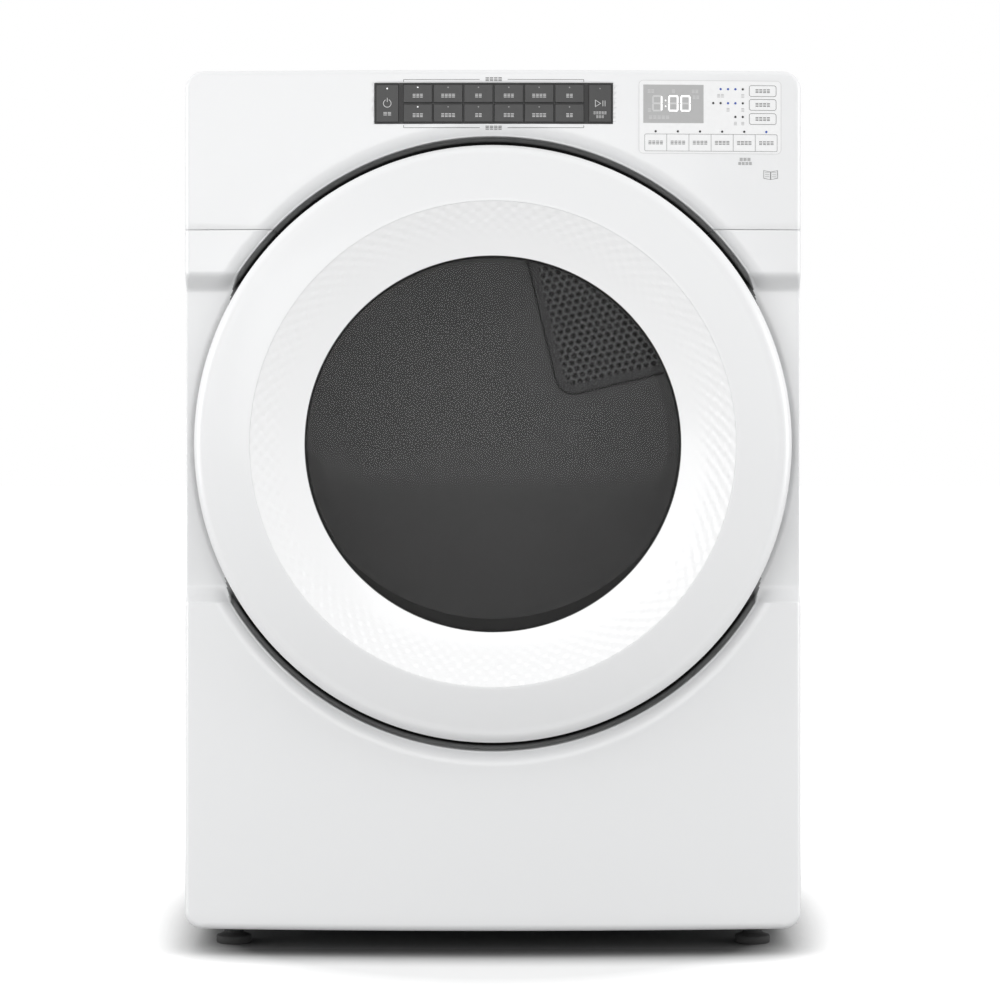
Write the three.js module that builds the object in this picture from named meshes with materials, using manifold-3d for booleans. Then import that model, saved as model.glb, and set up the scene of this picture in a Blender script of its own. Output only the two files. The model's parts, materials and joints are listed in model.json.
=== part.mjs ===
// A front-loading vented clothes dryer, in millimetres.
// +Z is up, the door faces -Y, and the origin is on the floor under the middle of the machine.

import * as THREE from 'three';
import { mergeVertices } from 'three/addons/utils/BufferGeometryUtils.js';
import Module from 'manifold-3d';

const wasm = await Module();
wasm.setup();

// ---------------------------------------------------------------- driving dimensions

const WIDTH = 686;
const DEPTH = 790;
const HEIGHT = 984;
const HALF_WIDTH = WIDTH / 2;
const CABINET_BOTTOM = 29;       // the feet fill the space below
const GAP = 0.3;                 // between neighbours that would touch
const SHEET = 0.8;               // painted and galvanised sheet steel
const PLASTIC = 2.5;             // moulded shells

// front: a shallow bow, highest in the middle
const DOOR_FRONT_Y = -DEPTH / 2;
const FRONT_Y = DOOR_FRONT_Y + 43;
const BOW = 17;
const RETURN_Y = -290;           // where the front pieces meet the side panels
const EDGE_RADIUS = 6;
const TOP_CORNER_RADIUS = 15;
const BOTTOM_CORNER_RADIUS = 20;
const CONSOLE_BOTTOM = 807.5;
const TOP_PANEL_BOTTOM = 956;

// rear
const EXHAUST_END_Y = DEPTH / 2;
const REAR_Y = EXHAUST_END_Y - 20;
const GLAND_X = -220;
const GLAND_Z = 860;
const GLAND_RADIUS = 15;

// levelling feet
const FOOT_X = 296;
const FOOT_FRONT_Y = -240;
const FOOT_REAR_Y = 330;
const FOOT_STEM_RADIUS = 5;

// door, its recess and the side scoops that leave room for the fingers
const DOOR_Z = 569.5;
const DOOR_RADIUS = 329;
const CREST_RADIUS = 266;
const WINDOW_RADIUS = 206.5;
const DOOR_BACK_Y = -345;
const RECESS_RADIUS = 341;
const RECESS_FLOOR_Y = -314;
const THROAT_RADIUS = 250;
const WAIST_Y = -316.5;
const WAIST_BOTTOM = 393;
const WAIST_TOP = 757;
const WAIST_SLOPE = 18;
const HINGE_X = 316;
const HINGE_Y = -336;
const HINGE_SPACING = 120;
const HINGE_PIN_RADIUS = 2.5;
const EAR_RADIUS = 4.5;
const WINDOW_FRONT_Y = -377;
const DOOR_FIELD_Y = -318;       // the back of the door around the inner pane
const STRIKE_X = 310;
const STRIKE_TIP_Y = -318;

// drum and what it runs on
const DRUM_RADIUS = 315;
const DRUM_FRONT_Y = -274;
const DRUM_REAR_Y = 296;
const NECK_RADIUS = 264;
const BULKHEAD_FRONT_Y = -288;
const BULKHEAD_REAR_Y = 302;
const THROAT_RING_Y = -311;
const ROLLER_RADIUS = 37.5;
const ROLLER_X = 227;
const ROLLER_Z = 299;
const ROLLER_FRONT_Y = 252;
const ROLLER_WIDTH = 22;
const BAFFLE_COUNT = 3;
const BAFFLE_TIP_RADIUS = 240;
const BAFFLE_TURN = 215;         // where the first baffle rests, in degrees from +X
const ROLLER_AXLE_RADIUS = 6;

// drive
const MOTOR_X = -130;
const MOTOR_Z = 165;
const MOTOR_RADIUS = 70;
const MOTOR_FRONT_Y = -205;
const MOTOR_REAR_Y = -45;
const SHAFT_RADIUS = 6;
const PULLEY_RADIUS = 10;
const WHEEL_FRONT_Y = -268;
const WHEEL_REAR_Y = -223;
const BELT_FRONT_Y = -16;
const BELT_WIDTH = 7;
const BELT_THICKNESS = 2;
const BELT_CLEARANCE = 1.1;
const IDLER_X = 9.7;
const IDLER_Z = 215;
const IDLER_RADIUS = 22;
const IDLER_ARM_Y = -34;
const IDLER_PIN_RADIUS = 4;
const IDLER_PIVOT_X = -50;
const IDLER_PIVOT_Z = 200;

// air path
const BLOWER_RADIUS = 75;
const BLOWER_FRONT_Y = -276.3;
const BLOWER_REAR_Y = -215;
const BLOWER_INLET_RADIUS = 52;
const BLOWER_MOUTH_X = -40;
const VOLUTE_RADIUS = BLOWER_RADIUS + 8;
const VOLUTE_GROWTH = 30;
const VOLUTE_BOTTOM = MOTOR_Z - VOLUTE_RADIUS - VOLUTE_GROWTH;
const VOLUTE_START = -40;
const EXHAUST_RADIUS = 51;
const EXHAUST_Z = 115;
const DUCT_LEFT = -192;
const DUCT_RIGHT = 112;
const DUCT_FRONT_Y = -309;
const DUCT_REAR_Y = -277;
const DUCT_BOTTOM = 92;
const FILTER_HALF_WIDTH = 102;
const FILTER_BOTTOM = 110;
const GRILLE_TILT = 13.5;        // degrees
const GRILLE_CORNER = [92, 67];  // from the drum axis
const GRILLE_CORNER_RADIUS = 17;
const GRILLE_OUTER_RADIUS = 275;

// controls
const STRIP_X = 0.75;
const STRIP_Z = 946.5;
const STRIP_WIDTH = 264;
const STRIP_HEIGHT = 45;
const END_KEY_WIDTH = 24.4;
const PROGRAM_PITCH = 33.6;
const PROGRAM_COLUMNS = 6;
const KEY_HEIGHT = 19.6;
const KEY_GAP = 2;
const KEY_PROUD = 0.8;
const KEY_TRAVEL = 0.8;
const KEY_BACK_Y = -331.2;
const DISPLAY_X = 241;
const DISPLAY_Z = 932;
const DISPLAY_WIDTH = 159;
const DISPLAY_HEIGHT = 81.5;
const OVERLAY_THICKNESS = 0.9;

// facets
const RING_SEGMENTS = 48;
const SMALL_SEGMENTS = 16;
const BOW_SEGMENTS = 12;

// ---------------------------------------------------------------- finishes

const finishes = {
  whitePaint: { color: 0xf2f3f4, roughness: 0.35, metalness: 0.0 },
  whitePlastic: { color: 0xf4f5f6, roughness: 0.28, metalness: 0.0 },
  smokedWindow: { color: 0x464443, roughness: 0.12, metalness: 0.0 },
  darkKey: { color: 0x464646, roughness: 0.45, metalness: 0.0 },
  blackPlastic: { color: 0x141414, roughness: 0.5, metalness: 0.0 },
  displayGrey: { color: 0xd8d9da, roughness: 0.3, metalness: 0.0 },
  galvanised: { color: 0xb4b8ba, roughness: 0.42, metalness: 0.9 },
  drumSteel: { color: 0xc9cbcc, roughness: 0.3, metalness: 0.9 },
  rubber: { color: 0x1c1c1c, roughness: 0.85, metalness: 0.0 },
  felt: { color: 0x8d877c, roughness: 0.95, metalness: 0.0 },
  duct: { color: 0xc4c7c9, roughness: 0.35, metalness: 0.9 },
  motorSteel: { color: 0x5a5d60, roughness: 0.45, metalness: 0.8 },
  circuitBoard: { color: 0x1d5a36, roughness: 0.5, metalness: 0.0 },
  greyPlastic: { color: 0x9b9d9f, roughness: 0.55, metalness: 0.0 },
};

// ---------------------------------------------------------------- solids

// A closed geometry becomes a solid: shared corners merged, empty triangles dropped, faces out.
function toSolid(geometry) {
  geometry.deleteAttribute('normal');
  geometry.deleteAttribute('uv');
  const merged = mergeVertices(geometry, 1e-4);
  const points = merged.attributes.position;
  const corners = [];
  const a = new THREE.Vector3();
  const b = new THREE.Vector3();
  const c = new THREE.Vector3();
  let volume = 0;
  for (let i = 0; i < merged.index.count; i += 3) {
    const [p, q, r] = [0, 1, 2].map((corner) => merged.index.getX(i + corner));
    if (p === q || q === r || r === p) continue;
    corners.push(p, q, r);
    a.fromBufferAttribute(points, p);
    b.fromBufferAttribute(points, q);
    c.fromBufferAttribute(points, r);
    volume += a.dot(b.cross(c));
  }
  if (volume < 0) corners.reverse();
  return new wasm.Manifold(new wasm.Mesh({
    numProp: 3,
    vertProperties: new Float32Array(points.array),
    triVerts: new Uint32Array(corners),
  }));
}

function toGeometry(solid) {
  const mesh = solid.getMesh();
  const geometry = new THREE.BufferGeometry();
  geometry.setAttribute('position', new THREE.BufferAttribute(mesh.vertProperties, 3));
  geometry.setIndex(new THREE.BufferAttribute(mesh.triVerts, 1));
  return geometry;
}

function box(x0, x1, y0, y1, z0, z1) {
  const geometry = new THREE.BoxGeometry(x1 - x0, y1 - y0, z1 - z0);
  geometry.translate((x0 + x1) / 2, (y0 + y1) / 2, (z0 + z1) / 2);
  return toSolid(geometry);
}

function rodAlongY(x, z, radius, y0, y1, segments = SMALL_SEGMENTS) {
  const geometry = new THREE.CylinderGeometry(radius, radius, y1 - y0, segments);
  geometry.translate(x, (y0 + y1) / 2, z);
  return toSolid(geometry);
}

function rodAlongZ(x, y, radius, z0, z1, segments = SMALL_SEGMENTS) {
  const geometry = new THREE.CylinderGeometry(radius, radius, z1 - z0, segments);
  geometry.rotateX(Math.PI / 2);
  geometry.translate(x, y, (z0 + z1) / 2);
  return toSolid(geometry);
}

// A profile of [radius, y] pairs turned about the Y axis.
function turned(profile, segments = RING_SEGMENTS) {
  const points = profile.map(([radius, y]) => new THREE.Vector2(radius, y));
  if (profile[0][0] > 0) points.push(points[0].clone());
  return toSolid(new THREE.LatheGeometry(points, segments));
}

function shapeOf(outline, holes = []) {
  const asVectors = (pairs) => pairs.map(([u, v]) => new THREE.Vector2(u, v));
  const shape = new THREE.Shape(asVectors(outline));
  holes.forEach((hole) => shape.holes.push(new THREE.Path(asVectors(hole))));
  return shape;
}

// An outline of [x, y] pairs raised from z0 to z1.
function raised(outline, z0, z1) {
  const geometry = new THREE.ExtrudeGeometry(shapeOf(outline), { depth: z1 - z0, bevelEnabled: false });
  geometry.translate(0, 0, z0);
  return toSolid(geometry);
}

// An outline of [x, z] pairs carried from y0 to y1.
function carriedAlongY(outline, y0, y1, holes = []) {
  const geometry = new THREE.ExtrudeGeometry(shapeOf(outline, holes), { depth: y1 - y0, bevelEnabled: false });
  geometry.rotateX(Math.PI / 2);
  geometry.translate(0, y1, 0);
  return toSolid(geometry);
}

// An outline of [y, z] pairs carried from x0 to x1.
function carriedAlongX(outline, x0, x1) {
  const geometry = new THREE.ExtrudeGeometry(shapeOf(outline), { depth: x1 - x0, bevelEnabled: false });
  geometry.applyMatrix4(new THREE.Matrix4().makeBasis(
    new THREE.Vector3(0, 1, 0),
    new THREE.Vector3(0, 0, 1),
    new THREE.Vector3(1, 0, 0),
  ));
  geometry.translate(x0, 0, 0);
  return toSolid(geometry);
}

function arc(cx, cy, radius, fromDegrees, toDegrees, steps) {
  const points = [];
  for (let i = 0; i <= steps; i++) {
    const angle = THREE.MathUtils.degToRad(fromDegrees + (toDegrees - fromDegrees) * i / steps);
    points.push([cx + radius * Math.cos(angle), cy + radius * Math.sin(angle)]);
  }
  return points;
}

function addPart(parent, name, solid, finish, position = [0, 0, 0]) {
  const mesh = new THREE.Mesh(toGeometry(solid), new THREE.MeshStandardMaterial(finish));
  mesh.name = name;
  mesh.position.set(...position);
  parent.add(mesh);
}

// ---------------------------------------------------------------- bowed front pieces

function bowY(x) {
  return FRONT_Y + BOW * (x / HALF_WIDTH) ** 2;
}

// A block whose front follows the bow, moved back by inset, and whose back is flat.
function bowedBlock(x0, x1, z0, z1, inset, backY, steps = BOW_SEGMENTS) {
  const outline = [[x1, backY], [x0, backY]];
  for (let i = 0; i <= steps; i++) {
    const x = x0 + (x1 - x0) * i / steps;
    outline.push([x, bowY(x) + inset]);
  }
  return raised(outline, z0, z1);
}

// The full-width bowed block with its vertical front edges rounded.
function bowedFullBlock(z0, z1, inset, backY) {
  const halfWidth = HALF_WIDTH - inset;
  const radius = EDGE_RADIUS - inset;
  const edgeX = halfWidth - radius;
  const edgeY = bowY(HALF_WIDTH - EDGE_RADIUS) + EDGE_RADIUS;
  const outline = [[halfWidth, backY], [-halfWidth, backY]];
  outline.push(...arc(-edgeX, edgeY, radius, 180, 270, 3));
  for (let i = 1; i < BOW_SEGMENTS; i++) {
    const x = -edgeX + 2 * edgeX * i / BOW_SEGMENTS;
    outline.push([x, bowY(x) + inset]);
  }
  outline.push(...arc(edgeX, edgeY, radius, 270, 360, 3));
  return raised(outline, z0, z1);
}

// ---------------------------------------------------------------- cabinet

function sidePanel(side) {
  const outer = side * HALF_WIDTH;
  const inner = side * (HALF_WIDTH - SHEET);
  const flange = side * (HALF_WIDTH - 20);
  const frontY = RETURN_Y + GAP;
  const outline = [
    [outer, frontY], [outer, REAR_Y - SHEET - GAP], [flange, REAR_Y - SHEET - GAP],
    [flange, REAR_Y - 2 * SHEET - GAP], [inner, REAR_Y - 2 * SHEET - GAP],
    [inner, frontY + SHEET], [flange, frontY + SHEET], [flange, frontY],
  ];
  return raised(outline, CABINET_BOTTOM, TOP_PANEL_BOTTOM - GAP);
}

function topPanel() {
  const section = (inset, bottom) => {
    const radius = TOP_CORNER_RADIUS - inset;
    const cornerX = HALF_WIDTH - TOP_CORNER_RADIUS;
    const cornerZ = HEIGHT - TOP_CORNER_RADIUS;
    return [
      [-HALF_WIDTH + inset, bottom],
      [HALF_WIDTH - inset, bottom],
      ...arc(cornerX, cornerZ, radius, 0, 90, 4),
      ...arc(-cornerX, cornerZ, radius, 90, 180, 4),
    ];
  };
  const shell = carriedAlongY(section(0, TOP_PANEL_BOTTOM), RETURN_Y + GAP, REAR_Y);
  return shell.subtract(carriedAlongY(section(SHEET, TOP_PANEL_BOTTOM - 5), RETURN_Y - 5, REAR_Y - SHEET));
}

function rearPanel() {
  const bottom = CABINET_BOTTOM + 3;
  const halfWidth = HALF_WIDTH - 1;
  let panel = box(-halfWidth, halfWidth, REAR_Y - SHEET, REAR_Y, bottom, TOP_PANEL_BOTTOM - GAP);
  panel = panel.subtract(rodAlongY(0, EXHAUST_Z, EXHAUST_RADIUS + 1.5, REAR_Y - 10, REAR_Y + 10, 32));
  panel = panel.subtract(rodAlongY(GLAND_X, GLAND_Z, GLAND_RADIUS + 1, REAR_Y - 10, REAR_Y + 10));
  const slotCount = 8;
  const slotPitch = 16;
  for (let i = 0; i < slotCount; i++) {
    const z = 200 + slotPitch * i;
    panel = panel.subtract(box(120, 240, REAR_Y - 10, REAR_Y + 10, z, z + 6));
  }
  return panel;
}

function cordGland() {
  return turned([
    [11, REAR_Y + 6], [11, REAR_Y - 12], [GLAND_RADIUS, REAR_Y - 12],
    [GLAND_RADIUS, REAR_Y + GAP], [22, REAR_Y + GAP], [22, REAR_Y + 4], [17, REAR_Y + 6],
  ], SMALL_SEGMENTS);
}

function footPlaces() {
  return [[-FOOT_X, FOOT_FRONT_Y], [FOOT_X, FOOT_FRONT_Y], [-FOOT_X, FOOT_REAR_Y], [FOOT_X, FOOT_REAR_Y]];
}

function basePan() {
  const halfWidth = HALF_WIDTH - SHEET - GAP;
  const frontY = RETURN_Y + 3;
  const rearY = REAR_Y - 2 * SHEET - 2 * GAP;
  const bottom = CABINET_BOTTOM + 1;
  let pan = box(-halfWidth, halfWidth, frontY, rearY, bottom, bottom + 32);
  pan = pan.subtract(box(
    -halfWidth + SHEET, halfWidth - SHEET, frontY + SHEET, rearY - SHEET, bottom + SHEET, bottom + 60,
  ));
  for (const [x, y] of footPlaces()) {
    pan = pan.subtract(rodAlongZ(x, y, FOOT_STEM_RADIUS + 1, 0, 80));
  }
  return pan;
}

// A levelling foot screwed fully in: rubber pad, neck against the base pan, threaded stem.
function foot() {
  const neckTop = CABINET_BOTTOM + 1 - GAP;
  const profile = [
    [0, 0], [19, 0], [20, 2], [20, 9], [11, 12], [11, neckTop], [FOOT_STEM_RADIUS, neckTop],
    [FOOT_STEM_RADIUS, 68], [0, 68],
  ];
  const geometry = new THREE.LatheGeometry(profile.map(([r, z]) => new THREE.Vector2(r, z)), SMALL_SEGMENTS);
  geometry.rotateX(Math.PI / 2);
  return toSolid(geometry);
}

// The plain rectangle of the front, with its two lower corners rounded.
function lowerFrontOutline(inset) {
  const halfWidth = HALF_WIDTH - inset;
  const radius = BOTTOM_CORNER_RADIUS - inset;
  const cornerX = HALF_WIDTH - BOTTOM_CORNER_RADIUS;
  const cornerZ = CABINET_BOTTOM + BOTTOM_CORNER_RADIUS;
  const top = CONSOLE_BOTTOM - GAP - inset;
  return [
    [halfWidth, top], [-halfWidth, top],
    ...arc(-cornerX, cornerZ, radius, 180, 270, 4),
    ...arc(cornerX, cornerZ, radius, 270, 360, 4),
  ];
}

function upperFrontOutline(inset) {
  const halfWidth = HALF_WIDTH - inset;
  const radius = TOP_CORNER_RADIUS - inset;
  const cornerX = HALF_WIDTH - TOP_CORNER_RADIUS;
  const cornerZ = HEIGHT - TOP_CORNER_RADIUS;
  const bottom = CONSOLE_BOTTOM + inset;
  return [
    [-halfWidth, bottom], [halfWidth, bottom],
    ...arc(cornerX, cornerZ, radius, 0, 90, 4),
    ...arc(-cornerX, cornerZ, radius, 90, 180, 4),
  ];
}

// What the side scoops take away: everything in front of a level that rises out of
// the panel on a short straight slope below and on a soft curve above.
function waistCutter(inset) {
  const level = WAIST_Y + inset;
  const rise = bowY(HALF_WIDTH - 30) - WAIST_Y;
  const outline = [
    [DOOR_FRONT_Y, WAIST_BOTTOM - inset],
    [level + rise, WAIST_BOTTOM - inset],
    [level, WAIST_BOTTOM + WAIST_SLOPE - inset],
  ];
  const steps = 4;
  for (let i = 0; i <= steps; i++) {
    const along = i / steps;
    const blend = along * along * (3 - 2 * along);
    outline.push([level + rise * blend, WAIST_TOP - WAIST_SLOPE * (1 - along) + inset]);
  }
  outline.push([DOOR_FRONT_Y, WAIST_TOP + inset]);
  return carriedAlongX(outline, -HALF_WIDTH - 5, HALF_WIDTH + 5);
}

// The round recess that the door sits in. It crosses the seam under the console.
function recessCutter(inset) {
  return rodAlongY(0, DOOR_Z, RECESS_RADIUS + inset, DOOR_FRONT_Y, RECESS_FLOOR_Y + inset, RING_SEGMENTS);
}

function throatCutter() {
  return rodAlongY(0, DOOR_Z, THROAT_RADIUS, DOOR_FRONT_Y, RETURN_Y + 1, RING_SEGMENTS);
}

// A front piece as a solid block with the given outline, moved in by inset on every side
// but the back, so that one block taken from another leaves an open-backed shell.
function frontBlock(outline, inset) {
  const backY = RETURN_Y + (inset > 0 ? 5 : 0);
  return bowedFullBlock(0, HEIGHT + 5, inset, backY)
    .intersect(carriedAlongY(outline, DOOR_FRONT_Y, backY + 1))
    .subtract(waistCutter(inset))
    .subtract(recessCutter(inset));
}

function frontPanel() {
  return frontBlock(lowerFrontOutline(0), 0)
    .subtract(frontBlock(lowerFrontOutline(SHEET), SHEET))
    .subtract(throatCutter());
}

// ---------------------------------------------------------------- console

const STRIP_LEFT = STRIP_X - STRIP_WIDTH / 2;
const STRIP_RIGHT = STRIP_X + STRIP_WIDTH / 2;
const PROGRAM_LEFT = STRIP_X - PROGRAM_PITCH * PROGRAM_COLUMNS / 2;
const ROW_OFFSET = (KEY_HEIGHT + KEY_GAP) / 2;

// Every push key: its name, its centre and its size.
function keyList() {
  const endX = (STRIP_WIDTH - END_KEY_WIDTH) / 2 - KEY_GAP;
  const endHeight = 2 * KEY_HEIGHT + KEY_GAP;
  const keys = [
    { name: 'key_power', x: STRIP_X - endX, z: STRIP_Z, width: END_KEY_WIDTH, height: endHeight },
    { name: 'key_start_pause', x: STRIP_X + endX, z: STRIP_Z, width: END_KEY_WIDTH, height: endHeight },
  ];
  for (const row of [0, 1]) {
    for (let column = 0; column < PROGRAM_COLUMNS; column++) {
      keys.push({
        name: `key_program_${row * PROGRAM_COLUMNS + column + 1}`,
        x: PROGRAM_LEFT + PROGRAM_PITCH * (column + 0.5),
        z: STRIP_Z + (row === 0 ? ROW_OFFSET : -ROW_OFFSET),
        width: PROGRAM_PITCH - KEY_GAP,
        height: KEY_HEIGHT,
      });
    }
  }
  return keys;
}

// A key's own origin is the middle of its face, so it is placed by its position.
function keySolid(key) {
  const half = { x: key.width / 2, z: key.height / 2 };
  const faceY = bowY(key.x);
  return bowedBlock(key.x - half.x, key.x + half.x, -half.z, half.z, -KEY_PROUD, KEY_BACK_Y, 2)
    .translate(-key.x, -faceY, 0);
}

function keyBezel() {
  let bezel = bowedBlock(
    STRIP_LEFT, STRIP_RIGHT, STRIP_Z - STRIP_HEIGHT / 2, STRIP_Z + STRIP_HEIGHT / 2, 0, FRONT_Y + 12,
  );
  for (const key of keyList()) {
    const halfWidth = key.width / 2 + GAP;
    const halfHeight = key.height / 2 + GAP;
    bezel = bezel.subtract(box(
      key.x - halfWidth, key.x + halfWidth, FRONT_Y - 10, FRONT_Y + 20, key.z - halfHeight, key.z + halfHeight,
    ));
  }
  return bezel;
}

// A thin layer between two levels that both follow the bow.
function bowedLayer(x0, x1, z0, z1, frontInset, backInset) {
  const front = [];
  const back = [];
  for (let i = 0; i <= BOW_SEGMENTS; i++) {
    const x = x0 + (x1 - x0) * i / BOW_SEGMENTS;
    front.push([x, bowY(x) + frontInset]);
    back.unshift([x, bowY(x) + backInset]);
  }
  return raised([...front, ...back], z0, z1);
}

function displayLayer(margin, frontInset, backInset) {
  const halfWidth = DISPLAY_WIDTH / 2 + margin;
  const halfHeight = DISPLAY_HEIGHT / 2 + margin;
  return bowedLayer(
    DISPLAY_X - halfWidth, DISPLAY_X + halfWidth, DISPLAY_Z - halfHeight, DISPLAY_Z + halfHeight,
    frontInset, backInset,
  );
}

function displayOverlay() {
  return displayLayer(0, 0, OVERLAY_THICKNESS);
}

function consoleFascia() {
  const stripHole = box(
    STRIP_LEFT - GAP, STRIP_RIGHT + GAP, DOOR_FRONT_Y, FRONT_Y + 10,
    STRIP_Z - STRIP_HEIGHT / 2 - GAP, STRIP_Z + STRIP_HEIGHT / 2 + GAP,
  );
  return frontBlock(upperFrontOutline(0), 0)
    .subtract(frontBlock(upperFrontOutline(PLASTIC), PLASTIC))
    .subtract(throatCutter())
    .subtract(stripHole)
    .subtract(displayLayer(GAP, -10, OVERLAY_THICKNESS + GAP));
}

// The circuit board behind the keys, with a relay block and a plug row on its back.
function controlBoard() {
  const frontY = KEY_BACK_Y + KEY_TRAVEL + GAP;
  const backY = frontY + 1.6;
  const bottom = DOOR_Z + RECESS_RADIUS + 7;
  const top = HEIGHT - 12;
  const board = box(STRIP_LEFT, DISPLAY_X + 70, frontY, backY, bottom, top);
  const relays = box(-110, -30, backY - 0.5, backY + 16, bottom + 15, top - 10);
  const plugs = box(20, 180, backY - 0.5, backY + 9, bottom + 4, bottom + 14);
  return board.add(relays).add(plugs);
}

// ---------------------------------------------------------------- bulkheads and air path

// The front bulkhead carries the throat ring that the drum's neck turns on, and the lint
// duct that leads from the filter slot down to the blower.
function frontBulkhead() {
  const plate = box(
    -HALF_WIDTH + 2, HALF_WIDTH - 2, BULKHEAD_FRONT_Y, BULKHEAD_FRONT_Y + SHEET, 230, TOP_PANEL_BOTTOM - 6,
  );
  const ring = rodAlongY(0, DOOR_Z, THROAT_RADIUS - GAP, THROAT_RING_Y, THROAT_RING_Y + 56, RING_SEGMENTS);
  const duct = box(DUCT_LEFT, DUCT_RIGHT, DUCT_FRONT_Y, DUCT_REAR_Y, DUCT_BOTTOM, 300);
  const neckHalfWidth = FILTER_HALF_WIDTH + 6;
  const neck = box(-neckHalfWidth, neckHalfWidth, DUCT_FRONT_Y, DUCT_REAR_Y, 298, 348);
  const ductRoom = box(
    DUCT_LEFT + 2, DUCT_RIGHT - 2, DUCT_FRONT_Y + 2, DUCT_REAR_Y - 2, DUCT_BOTTOM + 2, 298,
  );
  const slotHalfWidth = FILTER_HALF_WIDTH + 2;
  const slot = box(-slotHalfWidth, slotHalfWidth, DUCT_FRONT_Y + 4, DUCT_REAR_Y - 4, 290, 352);
  const throat = rodAlongY(0, DOOR_Z, THROAT_RADIUS - 2, RECESS_FLOOR_Y, -200, RING_SEGMENTS);
  const blowerHole = rodAlongY(MOTOR_X, MOTOR_Z, BLOWER_INLET_RADIUS, DUCT_REAR_Y - 5, DUCT_REAR_Y + 5);
  return plate.add(ring).add(duct).add(neck)
    .subtract(throat).subtract(ductRoom).subtract(slot).subtract(blowerHole);
}

// The felt ring between the throat ring and the drum's neck.
function frontDrumSeal() {
  const innerRadius = THROAT_RADIUS + GAP;
  const outerRadius = NECK_RADIUS - SHEET - 2 * GAP - 1;
  return turned([
    [innerRadius, DRUM_FRONT_Y], [outerRadius, DRUM_FRONT_Y],
    [outerRadius, DRUM_FRONT_Y + 14], [innerRadius, DRUM_FRONT_Y + 14],
  ]);
}

// The lint filter stands in its slot; its top follows the throat.
function lintFilter() {
  const topRadius = THROAT_RADIUS + 1;
  const halfAngle = THREE.MathUtils.radToDeg(Math.asin(FILTER_HALF_WIDTH / topRadius));
  const outline = [
    [FILTER_HALF_WIDTH - 8, FILTER_BOTTOM], [-FILTER_HALF_WIDTH + 8, FILTER_BOTTOM],
    ...arc(0, DOOR_Z, topRadius, 270 - halfAngle, 270 + halfAngle, 8),
  ];
  const screenY = (DUCT_FRONT_Y + DUCT_REAR_Y) / 2;
  let filter = carriedAlongY(outline, DUCT_FRONT_Y + 6, DUCT_REAR_Y - 6);
  for (const side of [-1, 1]) {
    const window = (y0, y1) => box(
      Math.min(side * 6, side * 86), Math.max(side * 6, side * 86), y0, y1, FILTER_BOTTOM + 12, 300,
    );
    filter = filter.subtract(window(DUCT_FRONT_Y, screenY - 0.6)).subtract(window(screenY + 0.6, DUCT_REAR_Y));
  }
  return filter;
}

// The hot-air inlet in the rear bulkhead: two straight sides that meet in a rounded
// corner, closed by an arc that follows the drum. Points are relative to the drum axis.
function grilleOutline(margin) {
  const tilt = THREE.MathUtils.degToRad(GRILLE_TILT);
  const across = new THREE.Vector2(Math.cos(tilt), Math.sin(tilt));
  const up = new THREE.Vector2(-Math.sin(tilt), Math.cos(tilt));
  const corner = new THREE.Vector2(...GRILLE_CORNER).addScaledVector(across, margin).addScaledVector(up, margin);
  const reach = (direction) => {
    const along = corner.dot(direction);
    const outer = GRILLE_OUTER_RADIUS - margin;
    const distance = -along + Math.sqrt(along ** 2 - corner.lengthSq() + outer ** 2);
    return THREE.MathUtils.radToDeg(corner.clone().addScaledVector(direction, distance).angle());
  };
  const radius = GRILLE_CORNER_RADIUS - margin;
  const centre = corner.clone().addScaledVector(across, radius).addScaledVector(up, radius);
  return [
    ...arc(0, 0, GRILLE_OUTER_RADIUS - margin, reach(across), reach(up), 8),
    ...arc(centre.x, centre.y, radius, 180 + GRILLE_TILT, 270 + GRILLE_TILT, 4),
  ].map(([x, z]) => [x, z + DOOR_Z]);
}

function rearBulkhead() {
  let bulkhead = box(
    -HALF_WIDTH + 2, HALF_WIDTH - 2, BULKHEAD_REAR_Y, BULKHEAD_REAR_Y + SHEET, 210, TOP_PANEL_BOTTOM - 6,
  );
  const guide = turned([
    [DRUM_RADIUS - 8, BULKHEAD_REAR_Y + 0.5], [DRUM_RADIUS - 8, DRUM_REAR_Y - 12],
    [DRUM_RADIUS - 6.5, DRUM_REAR_Y - 12], [DRUM_RADIUS - 6.5, BULKHEAD_REAR_Y + 0.5],
  ]).translate(0, 0, DOOR_Z);
  bulkhead = bulkhead.add(guide);
  for (const side of [-1, 1]) {
    bulkhead = bulkhead.add(rodAlongY(
      side * ROLLER_X, ROLLER_Z, ROLLER_AXLE_RADIUS, ROLLER_FRONT_Y - 6, BULKHEAD_REAR_Y + 0.5,
    ));
  }
  return bulkhead.subtract(carriedAlongY(grilleOutline(0), BULKHEAD_REAR_Y - 3, BULKHEAD_REAR_Y + 5));
}

function inletGrille() {
  return carriedAlongY(grilleOutline(-8), BULKHEAD_REAR_Y - GAP - 3, BULKHEAD_REAR_Y - GAP);
}

// The sheet box behind the grille, open to it in front and to the cabinet below.
function heaterHousing() {
  const frontY = BULKHEAD_REAR_Y + SHEET + GAP;
  const backY = REAR_Y - SHEET - 5;
  const shell = box(20, 300, frontY, backY, 330, 880);
  return shell.subtract(box(20 + SHEET, 300 - SHEET, frontY - 5, backY - SHEET, 320, 880 - SHEET));
}

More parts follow.
